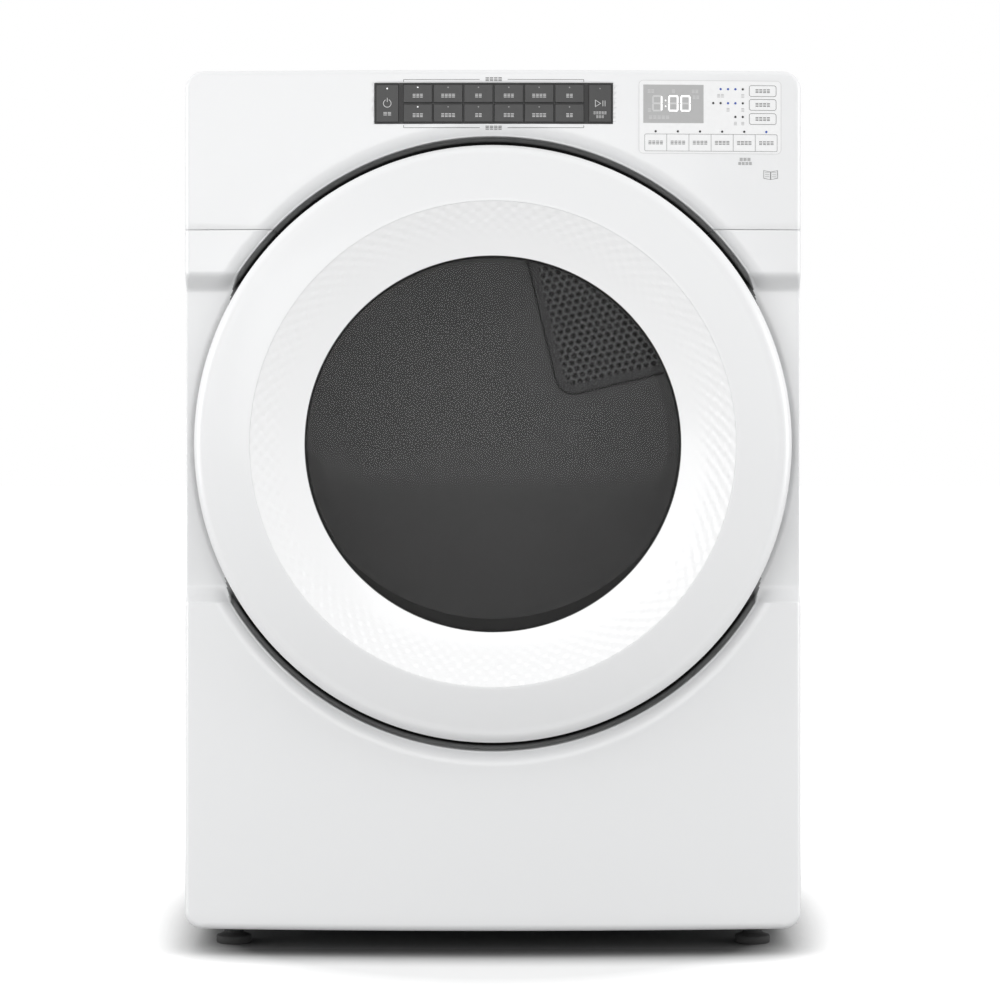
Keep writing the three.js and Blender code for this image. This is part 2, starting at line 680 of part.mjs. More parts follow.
// The spiral of the blower housing with its outlet to the right, moved in by inset.
function volute(inset, mouthX) {
  const outline = [];
  const steps = 15;
  for (let i = 0; i <= steps; i++) {
    const start = VOLUTE_START - 3 * inset;
    const angle = THREE.MathUtils.degToRad(start + (270 - start) * i / steps);
    const radius = VOLUTE_RADIUS + VOLUTE_GROWTH * i / steps - inset;
    outline.push([MOTOR_X + radius * Math.cos(angle), MOTOR_Z + radius * Math.sin(angle)]);
  }
  const bottom = VOLUTE_BOTTOM + inset;
  const lip = MOTOR_Z + VOLUTE_RADIUS * Math.sin(THREE.MathUtils.degToRad(VOLUTE_START)) - inset;
  outline.push([mouthX, bottom], [mouthX, lip]);
  return outline;
}

function blowerHousing() {
  const shell = carriedAlongY(volute(0, BLOWER_MOUTH_X), BLOWER_FRONT_Y, BLOWER_REAR_Y);
  const room = carriedAlongY(volute(2, BLOWER_MOUTH_X + 5), BLOWER_FRONT_Y + 2, BLOWER_REAR_Y - 2);
  const inlet = rodAlongY(MOTOR_X, MOTOR_Z, BLOWER_INLET_RADIUS, BLOWER_FRONT_Y - 5, BLOWER_FRONT_Y + 5);
  const shaftHole = rodAlongY(MOTOR_X, MOTOR_Z, SHAFT_RADIUS + 4, BLOWER_REAR_Y - 5, BLOWER_REAR_Y + 5);
  return shell.subtract(room).subtract(inlet).subtract(shaftHole);
}

// A box that takes the air from the blower and a round pipe that carries it out at the rear.
function exhaustDuct() {
  const left = BLOWER_MOUTH_X + GAP;
  const right = EXHAUST_RADIUS;
  const boxRearY = BLOWER_REAR_Y + 10;
  const top = EXHAUST_Z + 45;
  const outer = box(left, right, BLOWER_FRONT_Y, boxRearY, VOLUTE_BOTTOM, top)
    .add(rodAlongY(0, EXHAUST_Z, EXHAUST_RADIUS, boxRearY - 1, EXHAUST_END_Y, 24));
  const room = box(
    left - 5, right - SHEET, BLOWER_FRONT_Y + SHEET, boxRearY - SHEET, VOLUTE_BOTTOM + SHEET, top - SHEET,
  ).add(rodAlongY(0, EXHAUST_Z, EXHAUST_RADIUS - 13, boxRearY - 5, boxRearY + 5, 24))
    .add(rodAlongY(0, EXHAUST_Z, EXHAUST_RADIUS - SHEET, boxRearY + 2, EXHAUST_END_Y + 5, 24));
  return outer.subtract(room);
}

// ---------------------------------------------------------------- drum

// The drum shell: a wide cylinder whose front narrows to a neck. Relative to the drum axis.
function drumShell() {
  const shoulderY = DRUM_FRONT_Y + 36;
  const neckEndY = DRUM_FRONT_Y + 16;
  return turned([
    [NECK_RADIUS, DRUM_FRONT_Y], [NECK_RADIUS, neckEndY], [DRUM_RADIUS, shoulderY], [DRUM_RADIUS, DRUM_REAR_Y],
    [DRUM_RADIUS - SHEET, DRUM_REAR_Y], [DRUM_RADIUS - SHEET, shoulderY + 0.5],
    [NECK_RADIUS - SHEET, neckEndY + 0.5], [NECK_RADIUS - SHEET, DRUM_FRONT_Y],
  ]);
}

// A lifting baffle at the bottom of the drum, its rounded ridge towards the axis.
function drumBaffle() {
  const seatRadius = DRUM_RADIUS - 2 * SHEET;
  const ridgeRadius = 14;
  const outline = [
    ...arc(0, 0, seatRadius, 262, 278, 4),
    ...arc(0, -BAFFLE_TIP_RADIUS - ridgeRadius, ridgeRadius, 0, 180, 4),
  ];
  return carriedAlongY(outline, DRUM_FRONT_Y + 50, DRUM_REAR_Y - 26);
}

function drumRoller() {
  const rearY = ROLLER_FRONT_Y + ROLLER_WIDTH;
  const hubRadius = ROLLER_AXLE_RADIUS + 0.6;
  return turned([
    [hubRadius, ROLLER_FRONT_Y], [ROLLER_RADIUS - 1, ROLLER_FRONT_Y], [ROLLER_RADIUS, ROLLER_FRONT_Y + 1],
    [ROLLER_RADIUS, rearY - 1], [ROLLER_RADIUS - 1, rearY], [hubRadius, rearY],
  ], 24);
}

// ---------------------------------------------------------------- motor, blower wheel and belt

// Everything here is relative to the motor shaft.
function motorHousing() {
  const wall = 3;
  return rodAlongY(0, 0, MOTOR_RADIUS, MOTOR_FRONT_Y, MOTOR_REAR_Y, 24)
    .subtract(rodAlongY(0, 0, MOTOR_RADIUS - wall, MOTOR_FRONT_Y + wall, MOTOR_REAR_Y - wall, 24))
    .subtract(rodAlongY(0, 0, SHAFT_RADIUS + 3, MOTOR_FRONT_Y - 5, MOTOR_REAR_Y + 5));
}

// The shaft with the rotor in the middle and the grooved belt pulley at its rear end.
function motorRotor() {
  const rotorFrontY = MOTOR_FRONT_Y + 35;
  const rotorRearY = MOTOR_REAR_Y - 35;
  const beltRearY = BELT_FRONT_Y + BELT_WIDTH;
  const flange = PULLEY_RADIUS + 3;
  return turned([
    [0, WHEEL_FRONT_Y - 4], [SHAFT_RADIUS, WHEEL_FRONT_Y - 4],
    [SHAFT_RADIUS, rotorFrontY], [48, rotorFrontY], [48, rotorRearY], [SHAFT_RADIUS, rotorRearY],
    [SHAFT_RADIUS, BELT_FRONT_Y - 3], [flange, BELT_FRONT_Y - 3], [flange, BELT_FRONT_Y - 1],
    [PULLEY_RADIUS, BELT_FRONT_Y - 1], [PULLEY_RADIUS, beltRearY + 1],
    [flange, beltRearY + 1], [flange, beltRearY + 3], [0, beltRearY + 3],
  ], SMALL_SEGMENTS);
}

function blowerWheel() {
  const bladeCount = 12;
  const backY = WHEEL_REAR_Y - 2;
  const hub = rodAlongY(0, 0, 14, WHEEL_FRONT_Y + 8, WHEEL_REAR_Y, 16);
  const disc = rodAlongY(0, 0, BLOWER_RADIUS, backY, WHEEL_REAR_Y, 24);
  let wheel = hub.add(disc);
  for (let i = 0; i < bladeCount; i++) {
    const blade = box(40, BLOWER_RADIUS - 1, WHEEL_FRONT_Y, backY + 0.5, -1, 1)
      .rotate([0, 360 * i / bladeCount, 0]);
    wheel = wheel.add(blade);
  }
  return wheel.subtract(rodAlongY(0, 0, SHAFT_RADIUS + GAP, WHEEL_FRONT_Y - 5, WHEEL_REAR_Y + 5));
}

// The bracket that holds the motor on the base pan. Its rear cheek carries the idler pivot.
function motorMount() {
  const floor = CABINET_BOTTOM + 1 + SHEET + GAP;
  const cheekY = MOTOR_REAR_Y + 1.5;
  const cheekThickness = 3;
  const plate = box(MOTOR_X - 75, MOTOR_X + 75, MOTOR_FRONT_Y, cheekY + cheekThickness, floor, floor + 3);
  const cradle = (y0) => box(MOTOR_X - 60, MOTOR_X + 60, y0, y0 + 10, floor + 2, MOTOR_Z - 15);
  const cheek = carriedAlongY([
    [MOTOR_X - 75, floor + 1], [MOTOR_X + 74, floor + 1], [MOTOR_X + 74, MOTOR_Z - 15],
    [IDLER_PIVOT_X + 12, IDLER_PIVOT_Z - 6],
    [IDLER_PIVOT_X + 8, IDLER_PIVOT_Z + 10], [IDLER_PIVOT_X - 8, IDLER_PIVOT_Z + 10],
    [MOTOR_X - 30, MOTOR_Z + 22], [MOTOR_X - 75, MOTOR_Z - 60],
  ], cheekY, cheekY + cheekThickness);
  return plate
    .add(cradle(MOTOR_FRONT_Y + 12))
    .add(cradle(MOTOR_REAR_Y - 24))
    .subtract(rodAlongY(MOTOR_X, MOTOR_Z, MOTOR_RADIUS + GAP, MOTOR_FRONT_Y - 5, MOTOR_REAR_Y + GAP, 24))
    .add(cheek)
    .subtract(rodAlongY(MOTOR_X, MOTOR_Z, SHAFT_RADIUS + 8, MOTOR_REAR_Y, cheekY + 10))
    .add(rodAlongY(IDLER_PIVOT_X, IDLER_PIVOT_Z, IDLER_PIN_RADIUS, cheekY + 1, IDLER_ARM_Y + 5, 12));
}

// A strap from the pivot to the idler pulley, whose axle it carries.
function idlerArm() {
  const strapRadius = 9;
  const reach = new THREE.Vector2(IDLER_X - IDLER_PIVOT_X, IDLER_Z - IDLER_PIVOT_Z);
  const lean = THREE.MathUtils.radToDeg(reach.angle());
  const outline = [
    ...arc(0, 0, strapRadius, lean + 90, lean + 270, 6),
    ...arc(reach.x, reach.y, strapRadius, lean - 90, lean + 90, 6),
  ];
  return carriedAlongY(outline, IDLER_ARM_Y, IDLER_ARM_Y + 3)
    .subtract(rodAlongY(0, 0, IDLER_PIN_RADIUS + GAP, IDLER_ARM_Y - 5, IDLER_ARM_Y + 5, 12))
    .add(rodAlongY(reach.x, reach.y, IDLER_PIN_RADIUS, IDLER_ARM_Y + 1, BELT_FRONT_Y + BELT_WIDTH + 4, 12));
}

function idlerPulley() {
  const frontY = BELT_FRONT_Y - 3;
  const rearY = BELT_FRONT_Y + BELT_WIDTH + 3;
  const bore = IDLER_PIN_RADIUS + 0.5;
  const flange = IDLER_RADIUS + 3;
  return turned([
    [bore, frontY], [flange, frontY], [flange, frontY + 1.5], [IDLER_RADIUS, frontY + 1.5],
    [IDLER_RADIUS, rearY - 1.5], [flange, rearY - 1.5], [flange, rearY], [bore, rearY],
  ], SMALL_SEGMENTS);
}

// One edge of the belt: round the drum and the motor pulley, and over the idler,
// which turns the other way. side is 1 for the outer edge and -1 for the inner one.
function beltEdge(side) {
  const wheels = [
    { centre: new THREE.Vector2(0, DOOR_Z), radius: DRUM_RADIUS, turn: 1, steps: 36 },
    { centre: new THREE.Vector2(MOTOR_X, MOTOR_Z), radius: PULLEY_RADIUS, turn: 1, steps: 6 },
    { centre: new THREE.Vector2(IDLER_X, IDLER_Z), radius: IDLER_RADIUS, turn: -1, steps: 4 },
  ].map((wheel) => ({
    ...wheel,
    radius: wheel.radius + BELT_CLEARANCE + (wheel.turn === side ? BELT_THICKNESS : 0),
  }));
  const headings = wheels.map((from, i) => {
    const to = wheels[(i + 1) % wheels.length];
    const between = to.centre.clone().sub(from.centre);
    const lean = Math.asin((from.turn * from.radius - to.turn * to.radius) / between.length());
    return THREE.MathUtils.radToDeg(between.angle() + lean);
  });
  return wheels.flatMap((wheel, i) => {
    const arrive = headings[(i + wheels.length - 1) % wheels.length] - 90 * wheel.turn;
    const leave = headings[i] - 90 * wheel.turn;
    const sweep = THREE.MathUtils.euclideanModulo((leave - arrive) * wheel.turn, 360) * wheel.turn;
    return arc(wheel.centre.x, wheel.centre.y, wheel.radius, arrive, arrive + sweep, wheel.steps);
  });
}

function driveBelt() {
  return carriedAlongY(beltEdge(1), BELT_FRONT_Y, BELT_FRONT_Y + BELT_WIDTH, [beltEdge(-1)]);
}

// ---------------------------------------------------------------- door

// Everything in this section is relative to the middle of the door at its own height.

function doorFrame() {
  const innerRadius = CREST_RADIUS + GAP;
  const wall = PLASTIC + GAP;
  return turned([
    [innerRadius, DOOR_FRONT_Y], [318, DOOR_FRONT_Y + 11], [326, DOOR_FRONT_Y + 15],
    [DOOR_RADIUS, DOOR_FRONT_Y + 21], [DOOR_RADIUS, DOOR_BACK_Y],
    [DOOR_RADIUS - wall, DOOR_BACK_Y], [DOOR_RADIUS - wall, DOOR_FRONT_Y + 22],
    [317, DOOR_FRONT_Y + 14], [innerRadius, DOOR_FRONT_Y + 3.2],
  ]);
}

// The funnel between the crest and the window, with a lip behind that holds the pane.
function doorBezel() {
  const innerRadius = WINDOW_RADIUS + 0.5;
  const rimY = WINDOW_FRONT_Y - 1;
  return turned([
    [CREST_RADIUS, DOOR_FRONT_Y + 0.6], [innerRadius, rimY], [innerRadius, rimY + 8],
    [innerRadius + PLASTIC, rimY + 8], [innerRadius + PLASTIC, rimY + 2.5], [CREST_RADIUS, DOOR_FRONT_Y + 3.6],
  ]);
}

function pane(frontY) {
  return rodAlongY(0, 0, WINDOW_RADIUS, frontY, frontY + 4, RING_SEGMENTS);
}

// The inner shell of the door: a flat rim, a slope, and a flat field around the inner pane.
function doorInnerPanel() {
  const outerRadius = DOOR_RADIUS - PLASTIC - 0.8;
  const fieldRadius = 288;
  const paneRadius = WINDOW_RADIUS + 0.5;
  const rimY = DOOR_BACK_Y + 0.5;
  const wall = 2;
  return turned([
    [outerRadius, rimY], [fieldRadius + 14, rimY], [fieldRadius, DOOR_FIELD_Y], [paneRadius, DOOR_FIELD_Y],
    [paneRadius, DOOR_FIELD_Y - 14], [paneRadius + wall, DOOR_FIELD_Y - 14],
    [paneRadius + wall, DOOR_FIELD_Y - wall], [fieldRadius - 1.4, DOOR_FIELD_Y - wall],
    [fieldRadius + 12.7, rimY - wall], [outerRadius, rimY - wall],
  ]);
}

function doorGasket() {
  const innerRadius = THROAT_RADIUS + 6;
  return turned([
    [innerRadius, DOOR_FIELD_Y + GAP], [innerRadius + 12, DOOR_FIELD_Y + GAP],
    [innerRadius + 9, RECESS_FLOOR_Y - GAP], [innerRadius + 3, RECESS_FLOOR_Y - GAP],
  ]);
}

// A flat tongue that the catch holds. It stands on the rim of the inner shell.
function doorStrike() {
  return box(-STRIKE_X - 7, -STRIKE_X + 7, DOOR_BACK_Y + 0.8, STRIKE_TIP_Y, -2, 2);
}

function doorCatch() {
  const body = box(-STRIKE_X - 11, -STRIKE_X + 11, STRIKE_TIP_Y - 13, RECESS_FLOOR_Y - GAP, -9, 9);
  return body.subtract(box(-STRIKE_X - 20, -STRIKE_X + 20, STRIKE_TIP_Y - 20, STRIKE_TIP_Y + 1, -3.5, 3.5));
}

const knuckleHeights = [-HINGE_SPACING / 2, HINGE_SPACING / 2];

// The fixed half of the hinge: a strip on the recess floor, two pairs of ears and their pins.
function hingeBracket() {
  const stripRearY = RECESS_FLOOR_Y - GAP;
  const halfLength = HINGE_SPACING / 2 + 15;
  let bracket = box(HINGE_X - 20, HINGE_X + 6, stripRearY - 2.5, stripRearY, -halfLength, halfLength);
  const earOutline = [
    [HINGE_X + EAR_RADIUS, stripRearY - 2], [HINGE_X - EAR_RADIUS, stripRearY - 2],
    ...arc(HINGE_X, HINGE_Y, EAR_RADIUS, 180, 360, 6),
  ];
  for (const z of knuckleHeights) {
    bracket = bracket
      .add(raised(earOutline, z - 14, z - 8))
      .add(raised(earOutline, z + 8, z + 14))
      .add(rodAlongZ(HINGE_X, HINGE_Y, HINGE_PIN_RADIUS, z - 9, z + 9, 12));
  }
  return bracket;
}

// The moving half: two eyes round the pins, joined by a strip on the rim of the inner shell.
function hingeArm() {
  const plateFrontY = DOOR_BACK_Y + 0.8;
  const plateRearY = plateFrontY + 2.5;
  const halfLength = HINGE_SPACING / 2 + 7;
  let arm = box(HINGE_X - 12.5, HINGE_X - 7, plateFrontY, plateRearY, -halfLength, halfLength);
  for (const z of knuckleHeights) {
    arm = arm
      .add(box(HINGE_X - 17, HINGE_X - 7, plateFrontY, plateRearY, z - 11, z + 7.5))
      .add(box(HINGE_X - 11, HINGE_X, plateFrontY, HINGE_Y - 2, z - 7.5, z + 7.5))
      .add(rodAlongZ(HINGE_X, HINGE_Y, EAR_RADIUS + 0.5, z - 7.5, z + 7.5))
      .subtract(rodAlongZ(HINGE_X, HINGE_Y, HINGE_PIN_RADIUS + GAP, z - 20, z + 20, 12));
  }
  return arm;
}

// ---------------------------------------------------------------- assembly

const dryer = new THREE.Group();

function addGroup(x, y, z) {
  const group = new THREE.Group();
  group.position.set(x, y, z);
  dryer.add(group);
  return group;
}

function addCabinet() {
  addPart(dryer, 'base_pan', basePan(), finishes.galvanised);
  addPart(dryer, 'left_side_panel', sidePanel(-1), finishes.whitePaint);
  addPart(dryer, 'right_side_panel', sidePanel(1), finishes.whitePaint);
  addPart(dryer, 'rear_panel', rearPanel(), finishes.galvanised);
  addPart(dryer, 'top_panel', topPanel(), finishes.whitePaint);
  addPart(dryer, 'front_panel', frontPanel(), finishes.whitePaint);
  addPart(dryer, 'cord_gland', cordGland(), finishes.blackPlastic, [GLAND_X, 0, GLAND_Z]);
  const names = ['foot_front_left', 'foot_front_right', 'foot_rear_left', 'foot_rear_right'];
  footPlaces().forEach(([x, y], i) => addPart(dryer, names[i], foot(), finishes.rubber, [x, y, 0]));
}

function addConsole() {
  addPart(dryer, 'console_fascia', consoleFascia(), finishes.whitePlastic);
  addPart(dryer, 'key_bezel', keyBezel(), finishes.blackPlastic);
  addPart(dryer, 'display_overlay', displayOverlay(), finishes.displayGrey);
  addPart(dryer, 'control_board', controlBoard(), finishes.circuitBoard);
  for (const key of keyList()) {
    addPart(dryer, key.name, keySolid(key), finishes.darkKey, [key.x, bowY(key.x), key.z]);
  }
}

function addAirPath() {
  addPart(dryer, 'front_bulkhead', frontBulkhead(), finishes.galvanised);
  addPart(dryer, 'rear_bulkhead', rearBulkhead(), finishes.galvanised);
  addPart(dryer, 'inlet_grille', inletGrille(), finishes.duct);
  addPart(dryer, 'heater_housing', heaterHousing(), finishes.galvanised);
  addPart(dryer, 'lint_filter', lintFilter(), finishes.greyPlastic);
  addPart(dryer, 'blower_housing', blowerHousing(), finishes.greyPlastic);
  addPart(dryer, 'exhaust_duct', exhaustDuct(), finishes.duct);
}

function addDrum() {
  const drum = addGroup(0, 0, DOOR_Z);
  addPart(drum, 'front_drum_seal', frontDrumSeal(), finishes.felt);
  addPart(drum, 'drum_shell', drumShell(), finishes.drumSteel);
  for (let i = 0; i < BAFFLE_COUNT; i++) {
    const holder = new THREE.Group();
    holder.rotation.y = -THREE.MathUtils.degToRad(BAFFLE_TURN - 270 + 360 * i / BAFFLE_COUNT);
    drum.add(holder);
    addPart(holder, `drum_baffle_${i + 1}`, drumBaffle(), finishes.greyPlastic);
  }
  for (const [name, x] of [['roller_left', -ROLLER_X], ['roller_right', ROLLER_X]]) {
    addPart(dryer, name, drumRoller(), finishes.rubber, [x, 0, ROLLER_Z]);
  }
}

function addDrive() {
  const motor = addGroup(MOTOR_X, 0, MOTOR_Z);
  addPart(motor, 'motor_housing', motorHousing(), finishes.motorSteel);
  addPart(motor, 'motor_rotor', motorRotor(), finishes.motorSteel);
  addPart(motor, 'blower_wheel', blowerWheel(), finishes.greyPlastic);
  addPart(dryer, 'motor_mount', motorMount(), finishes.galvanised);
  addPart(dryer, 'idler_arm', idlerArm(), finishes.galvanised, [IDLER_PIVOT_X, 0, IDLER_PIVOT_Z]);
  addPart(dryer, 'idler_pulley', idlerPulley(), finishes.greyPlastic, [IDLER_X, 0, IDLER_Z]);
  addPart(dryer, 'drive_belt', driveBelt(), finishes.rubber);
}

function addDoor() {
  const door = addGroup(0, 0, DOOR_Z);
  addPart(door, 'door_frame', doorFrame(), finishes.whitePlastic);
  addPart(door, 'door_bezel', doorBezel(), finishes.whitePlastic);
  addPart(door, 'door_window', pane(WINDOW_FRONT_Y), finishes.smokedWindow);
  addPart(door, 'door_inner_panel', doorInnerPanel(), finishes.greyPlastic);
  addPart(door, 'door_inner_glass', pane(DOOR_FIELD_Y - 12), finishes.smokedWindow);
  addPart(door, 'door_gasket', doorGasket(), finishes.rubber);
  addPart(door, 'door_strike', doorStrike(), finishes.galvanised);
  addPart(door, 'door_hinge_arm', hingeArm(), finishes.galvanised);
  addPart(door, 'door_catch', doorCatch(), finishes.greyPlastic);
  addPart(door, 'hinge_bracket', hingeBracket(), finishes.galvanised);
}

addCabinet();
addConsole();
addAirPath();
addDrum();
addDrive();
addDoor();

export default dryer;
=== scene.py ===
"""Looks of a front-loading clothes dryer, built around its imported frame. Lengths are in metres."""

import json
import math

import bmesh
import bpy
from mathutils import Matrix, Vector


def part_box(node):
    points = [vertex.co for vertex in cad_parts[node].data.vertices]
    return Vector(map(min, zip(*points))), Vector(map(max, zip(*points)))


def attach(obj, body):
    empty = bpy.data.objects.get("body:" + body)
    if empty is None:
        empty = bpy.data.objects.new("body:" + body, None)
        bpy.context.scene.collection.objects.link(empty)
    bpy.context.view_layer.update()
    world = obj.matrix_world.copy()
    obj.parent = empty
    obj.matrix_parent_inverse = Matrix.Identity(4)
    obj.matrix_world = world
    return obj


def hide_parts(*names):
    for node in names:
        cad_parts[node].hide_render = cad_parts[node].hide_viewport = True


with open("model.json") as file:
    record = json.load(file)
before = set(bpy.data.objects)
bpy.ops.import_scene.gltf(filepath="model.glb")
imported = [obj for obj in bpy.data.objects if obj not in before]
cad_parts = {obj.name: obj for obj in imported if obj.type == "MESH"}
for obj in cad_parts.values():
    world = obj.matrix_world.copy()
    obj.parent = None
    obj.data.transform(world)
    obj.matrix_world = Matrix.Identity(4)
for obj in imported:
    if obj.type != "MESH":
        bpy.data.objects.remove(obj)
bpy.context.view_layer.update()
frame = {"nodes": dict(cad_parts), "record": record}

# ---------------------------------------------------------------- places and sizes from the frame

MM = 0.001
PANEL_LOW, PANEL_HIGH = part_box("front_panel")
CONSOLE_LOW, CONSOLE_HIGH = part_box("console_fascia")
DOOR_LOW, DOOR_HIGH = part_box("door_frame")
DRUM_LOW, DRUM_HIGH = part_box("drum_shell")
OVERLAY_LOW, OVERLAY_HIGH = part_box("display_overlay")
STRIP_LOW, STRIP_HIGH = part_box("key_bezel")
WINDOW_LOW, WINDOW_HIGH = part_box("door_window")

HALF_WIDTH = PANEL_HIGH.x
FRONT_Y = PANEL_LOW.y
RETURN_Y = PANEL_HIGH.y
BOTTOM_Z = PANEL_LOW.z
TOP_Z = CONSOLE_HIGH.z
SEAM_Z = (PANEL_HIGH.z + CONSOLE_LOW.z) / 2
SEAM_GAP = 0.5 * MM
BOW = 17 * MM

DOOR_Z = (DOOR_LOW.z + DOOR_HIGH.z) / 2
DOOR_RADIUS = DOOR_HIGH.x
DOOR_FRONT_Y = DOOR_LOW.y
DOOR_BACK_Y = DOOR_HIGH.y
CREST_RADIUS = 266 * MM
WINDOW_RADIUS = WINDOW_HIGH.x
RECESS_RADIUS = 341 * MM
RECESS_FLOOR_Y = FRONT_Y + 38 * MM
THROAT_RADIUS = 250 * MM
WAIST_Y = FRONT_Y + 35.5 * MM
WAIST_BOTTOM = 393 * MM
WAIST_TOP = 757 * MM
WAIST_SLOPE = 18 * MM
DRUM_RADIUS = DRUM_HIGH.x
LIP_ROUND = 2 * MM
DISH_DEPTH = 6 * MM
DISH_WIDTH = 14 * MM

# ---------------------------------------------------------------- materials


class Look:
    """A node material in the making: a Principled shader with short ways to feed it."""

    def __init__(self, name, color, roughness, metallic=0.0):
        self.material = bpy.data.materials.new(name)
        self.material.use_nodes = True
        self.tree = self.material.node_tree
        self.shader = self.tree.nodes["Principled BSDF"]
        self.color = (*color, 1.0)
        self.shader.inputs["Base Color"].default_value = self.color
        self.shader.inputs["Roughness"].default_value = roughness
        self.shader.inputs["Metallic"].default_value = metallic
        self.roughness = roughness
        self.height = None

    def set(self, **values):
        for name, value in values.items():
            self.shader.inputs[name.replace("_", " ")].default_value = value
        return self

    def node(self, kind, **inputs):
        made = self.tree.nodes.new(kind)
        for name, value in inputs.items():
            made.inputs[name.replace("_", " ")].default_value = value
        return made

    def link(self, source, target):
        self.tree.links.new(source, target)

    def place(self, stretch=(1, 1, 1)):
        coordinates = self.node("ShaderNodeTexCoord")
        mapping = self.node("ShaderNodeMapping", Scale=stretch)
        self.link(coordinates.outputs["Object"], mapping.inputs["Vector"])
        return mapping.outputs["Vector"]

    def noise(self, scale, detail=3.0, stretch=(1, 1, 1)):
        texture = self.node("ShaderNodeTexNoise", Scale=scale, Detail=detail)
        self.link(self.place(stretch), texture.inputs["Vector"])
        return texture.outputs["Fac"]

    def cells(self, scale, stretch=(1, 1, 1)):
        texture = self.node("ShaderNodeTexVoronoi", Scale=scale)
        self.link(self.place(stretch), texture.inputs["Vector"])
        return texture.outputs["Color"]

    def ranged(self, source, low, high):
        made = self.node("ShaderNodeMapRange", To_Min=low, To_Max=high)
        self.link(source, made.inputs["Value"])
        return made.outputs["Result"]

    def vary_roughness(self, source, spread):
        value = self.ranged(source, self.roughness - spread, self.roughness + spread)
        self.link(value, self.shader.inputs["Roughness"])
        return self

    def vary_color(self, source, other, amount=1.0):
        mix = self.tree.nodes.new("ShaderNodeMix")
        mix.data_type = "RGBA"
        mix.inputs["A"].default_value = self.color
        mix.inputs["B"].default_value = (*other, 1.0)
        self.link(self.ranged(source, 0.0, amount), mix.inputs["Factor"])
        self.link(mix.outputs["Result"], self.shader.inputs["Base Color"])
        return self

    def bump(self, source, distance, strength=1.0):
        made = self.node("ShaderNodeBump", Strength=strength, Distance=distance)
        self.link(source, made.inputs["Height"])
        if self.height:
            self.link(self.height, made.inputs["Normal"])
        self.height = made.outputs["Normal"]
        self.link(self.height, self.shader.inputs["Normal"])
        return self


def grey(value, warmth=0.0):
    return (value * (1 + warmth), value, value * (1 - warmth))


def painted_steel():
    look = Look("white_paint", (0.83, 0.835, 0.84), 0.3).set(Coat_Weight=0.3, Coat_Roughness=0.12)
    look.vary_color(look.noise(5.0), (0.82, 0.826, 0.832))
    look.vary_roughness(look.noise(40.0), 0.04)
    return look.bump(look.noise(420.0, 2.0), 0.006 * MM, 0.5).material


def white_plastic():
    look = Look("white_plastic", (0.83, 0.835, 0.84), 0.31).set(Coat_Weight=0.2, Coat_Roughness=0.1)
    look.vary_color(look.noise(7.0), (0.82, 0.825, 0.831))
    look.vary_roughness(look.noise(60.0), 0.02)
    return look.bump(look.noise(420.0, 2.0), 0.006 * MM, 0.5).material


def textured_white():
    look = Look("textured_white", (0.93, 0.933, 0.936), 0.22).set(Coat_Weight=0.35, Coat_Roughness=0.08)
    look.vary_color(look.noise(9.0), (0.92, 0.923, 0.927))
    return look.vary_roughness(look.noise(80.0), 0.03).material


def smoked_pane():
    look = Look("smoked_window", grey(0.01, 0.03), 0.06).set(Alpha=0.5, Specular_IOR_Level=0.12)
    look.vary_color(look.noise(4.0), grey(0.012, 0.03))
    return look.vary_roughness(look.noise(30.0), 0.02).material


def dark_plastic(name, value, roughness):
    look = Look(name, grey(value), roughness)
    look.vary_color(look.noise(30.0), grey(value * 1.15))
    look.vary_roughness(look.noise(120.0), 0.05)
    return look.bump(look.noise(1800.0, 2.0), 0.01 * MM, 0.6).material


def plain_mark(name, color, glow=0.0):
    look = Look(name, color, 0.4)
    look.vary_color(look.noise(200.0), tuple(0.94 * part for part in color))
    if glow:
        look.set(Emission_Color=(*color, 1.0), Emission_Strength=glow)
    return look.material


def galvanised():
    look = Look("galvanised", (0.6, 0.62, 0.63), 0.42, 0.85)
    look.vary_color(look.cells(60.0), (0.5, 0.52, 0.54))
    look.vary_roughness(look.noise(90.0), 0.08)
    return look.bump(look.noise(300.0), 0.02 * MM, 0.4).material


def brushed(name, value, roughness, stretch):
    look = Look(name, (value, value * 1.005, value * 1.01), roughness, 0.9).set(Anisotropic=0.4)
    look.vary_color(look.noise(40.0, 4.0, stretch), (value * 0.85,) * 3)
    look.vary_roughness(look.noise(60.0, 4.0, stretch), 0.08)
    return look.bump(look.noise(80.0, 4.0, stretch), 0.02 * MM, 0.4).material


def rubber():
    look = Look("rubber", grey(0.022), 0.75)
    look.vary_color(look.noise(50.0), grey(0.04))
    return look.bump(look.noise(700.0, 4.0), 0.05 * MM, 0.7).material


def felt():
    look = Look("felt", (0.3, 0.28, 0.24), 0.95).set(Sheen_Weight=0.4, Sheen_Roughness=0.5)
    look.vary_color(look.noise(400.0, 5.0, (1, 1, 0.3)), (0.2, 0.185, 0.16))
    return look.bump(look.noise(900.0, 5.0), 0.3 * MM, 0.8).material


def motor_enamel():
    look = Look("motor_steel", grey(0.07), 0.4, 0.3)
    look.vary_color(look.noise(25.0), grey(0.1))
    return look.bump(look.noise(500.0), 0.04 * MM, 0.5).material


def circuit_board():
    look = Look("circuit_board", (0.02, 0.13, 0.06), 0.4)
    look.vary_color(look.cells(220.0), (0.03, 0.2, 0.09))
    return look.bump(look.cells(350.0), 0.05 * MM, 0.4).material


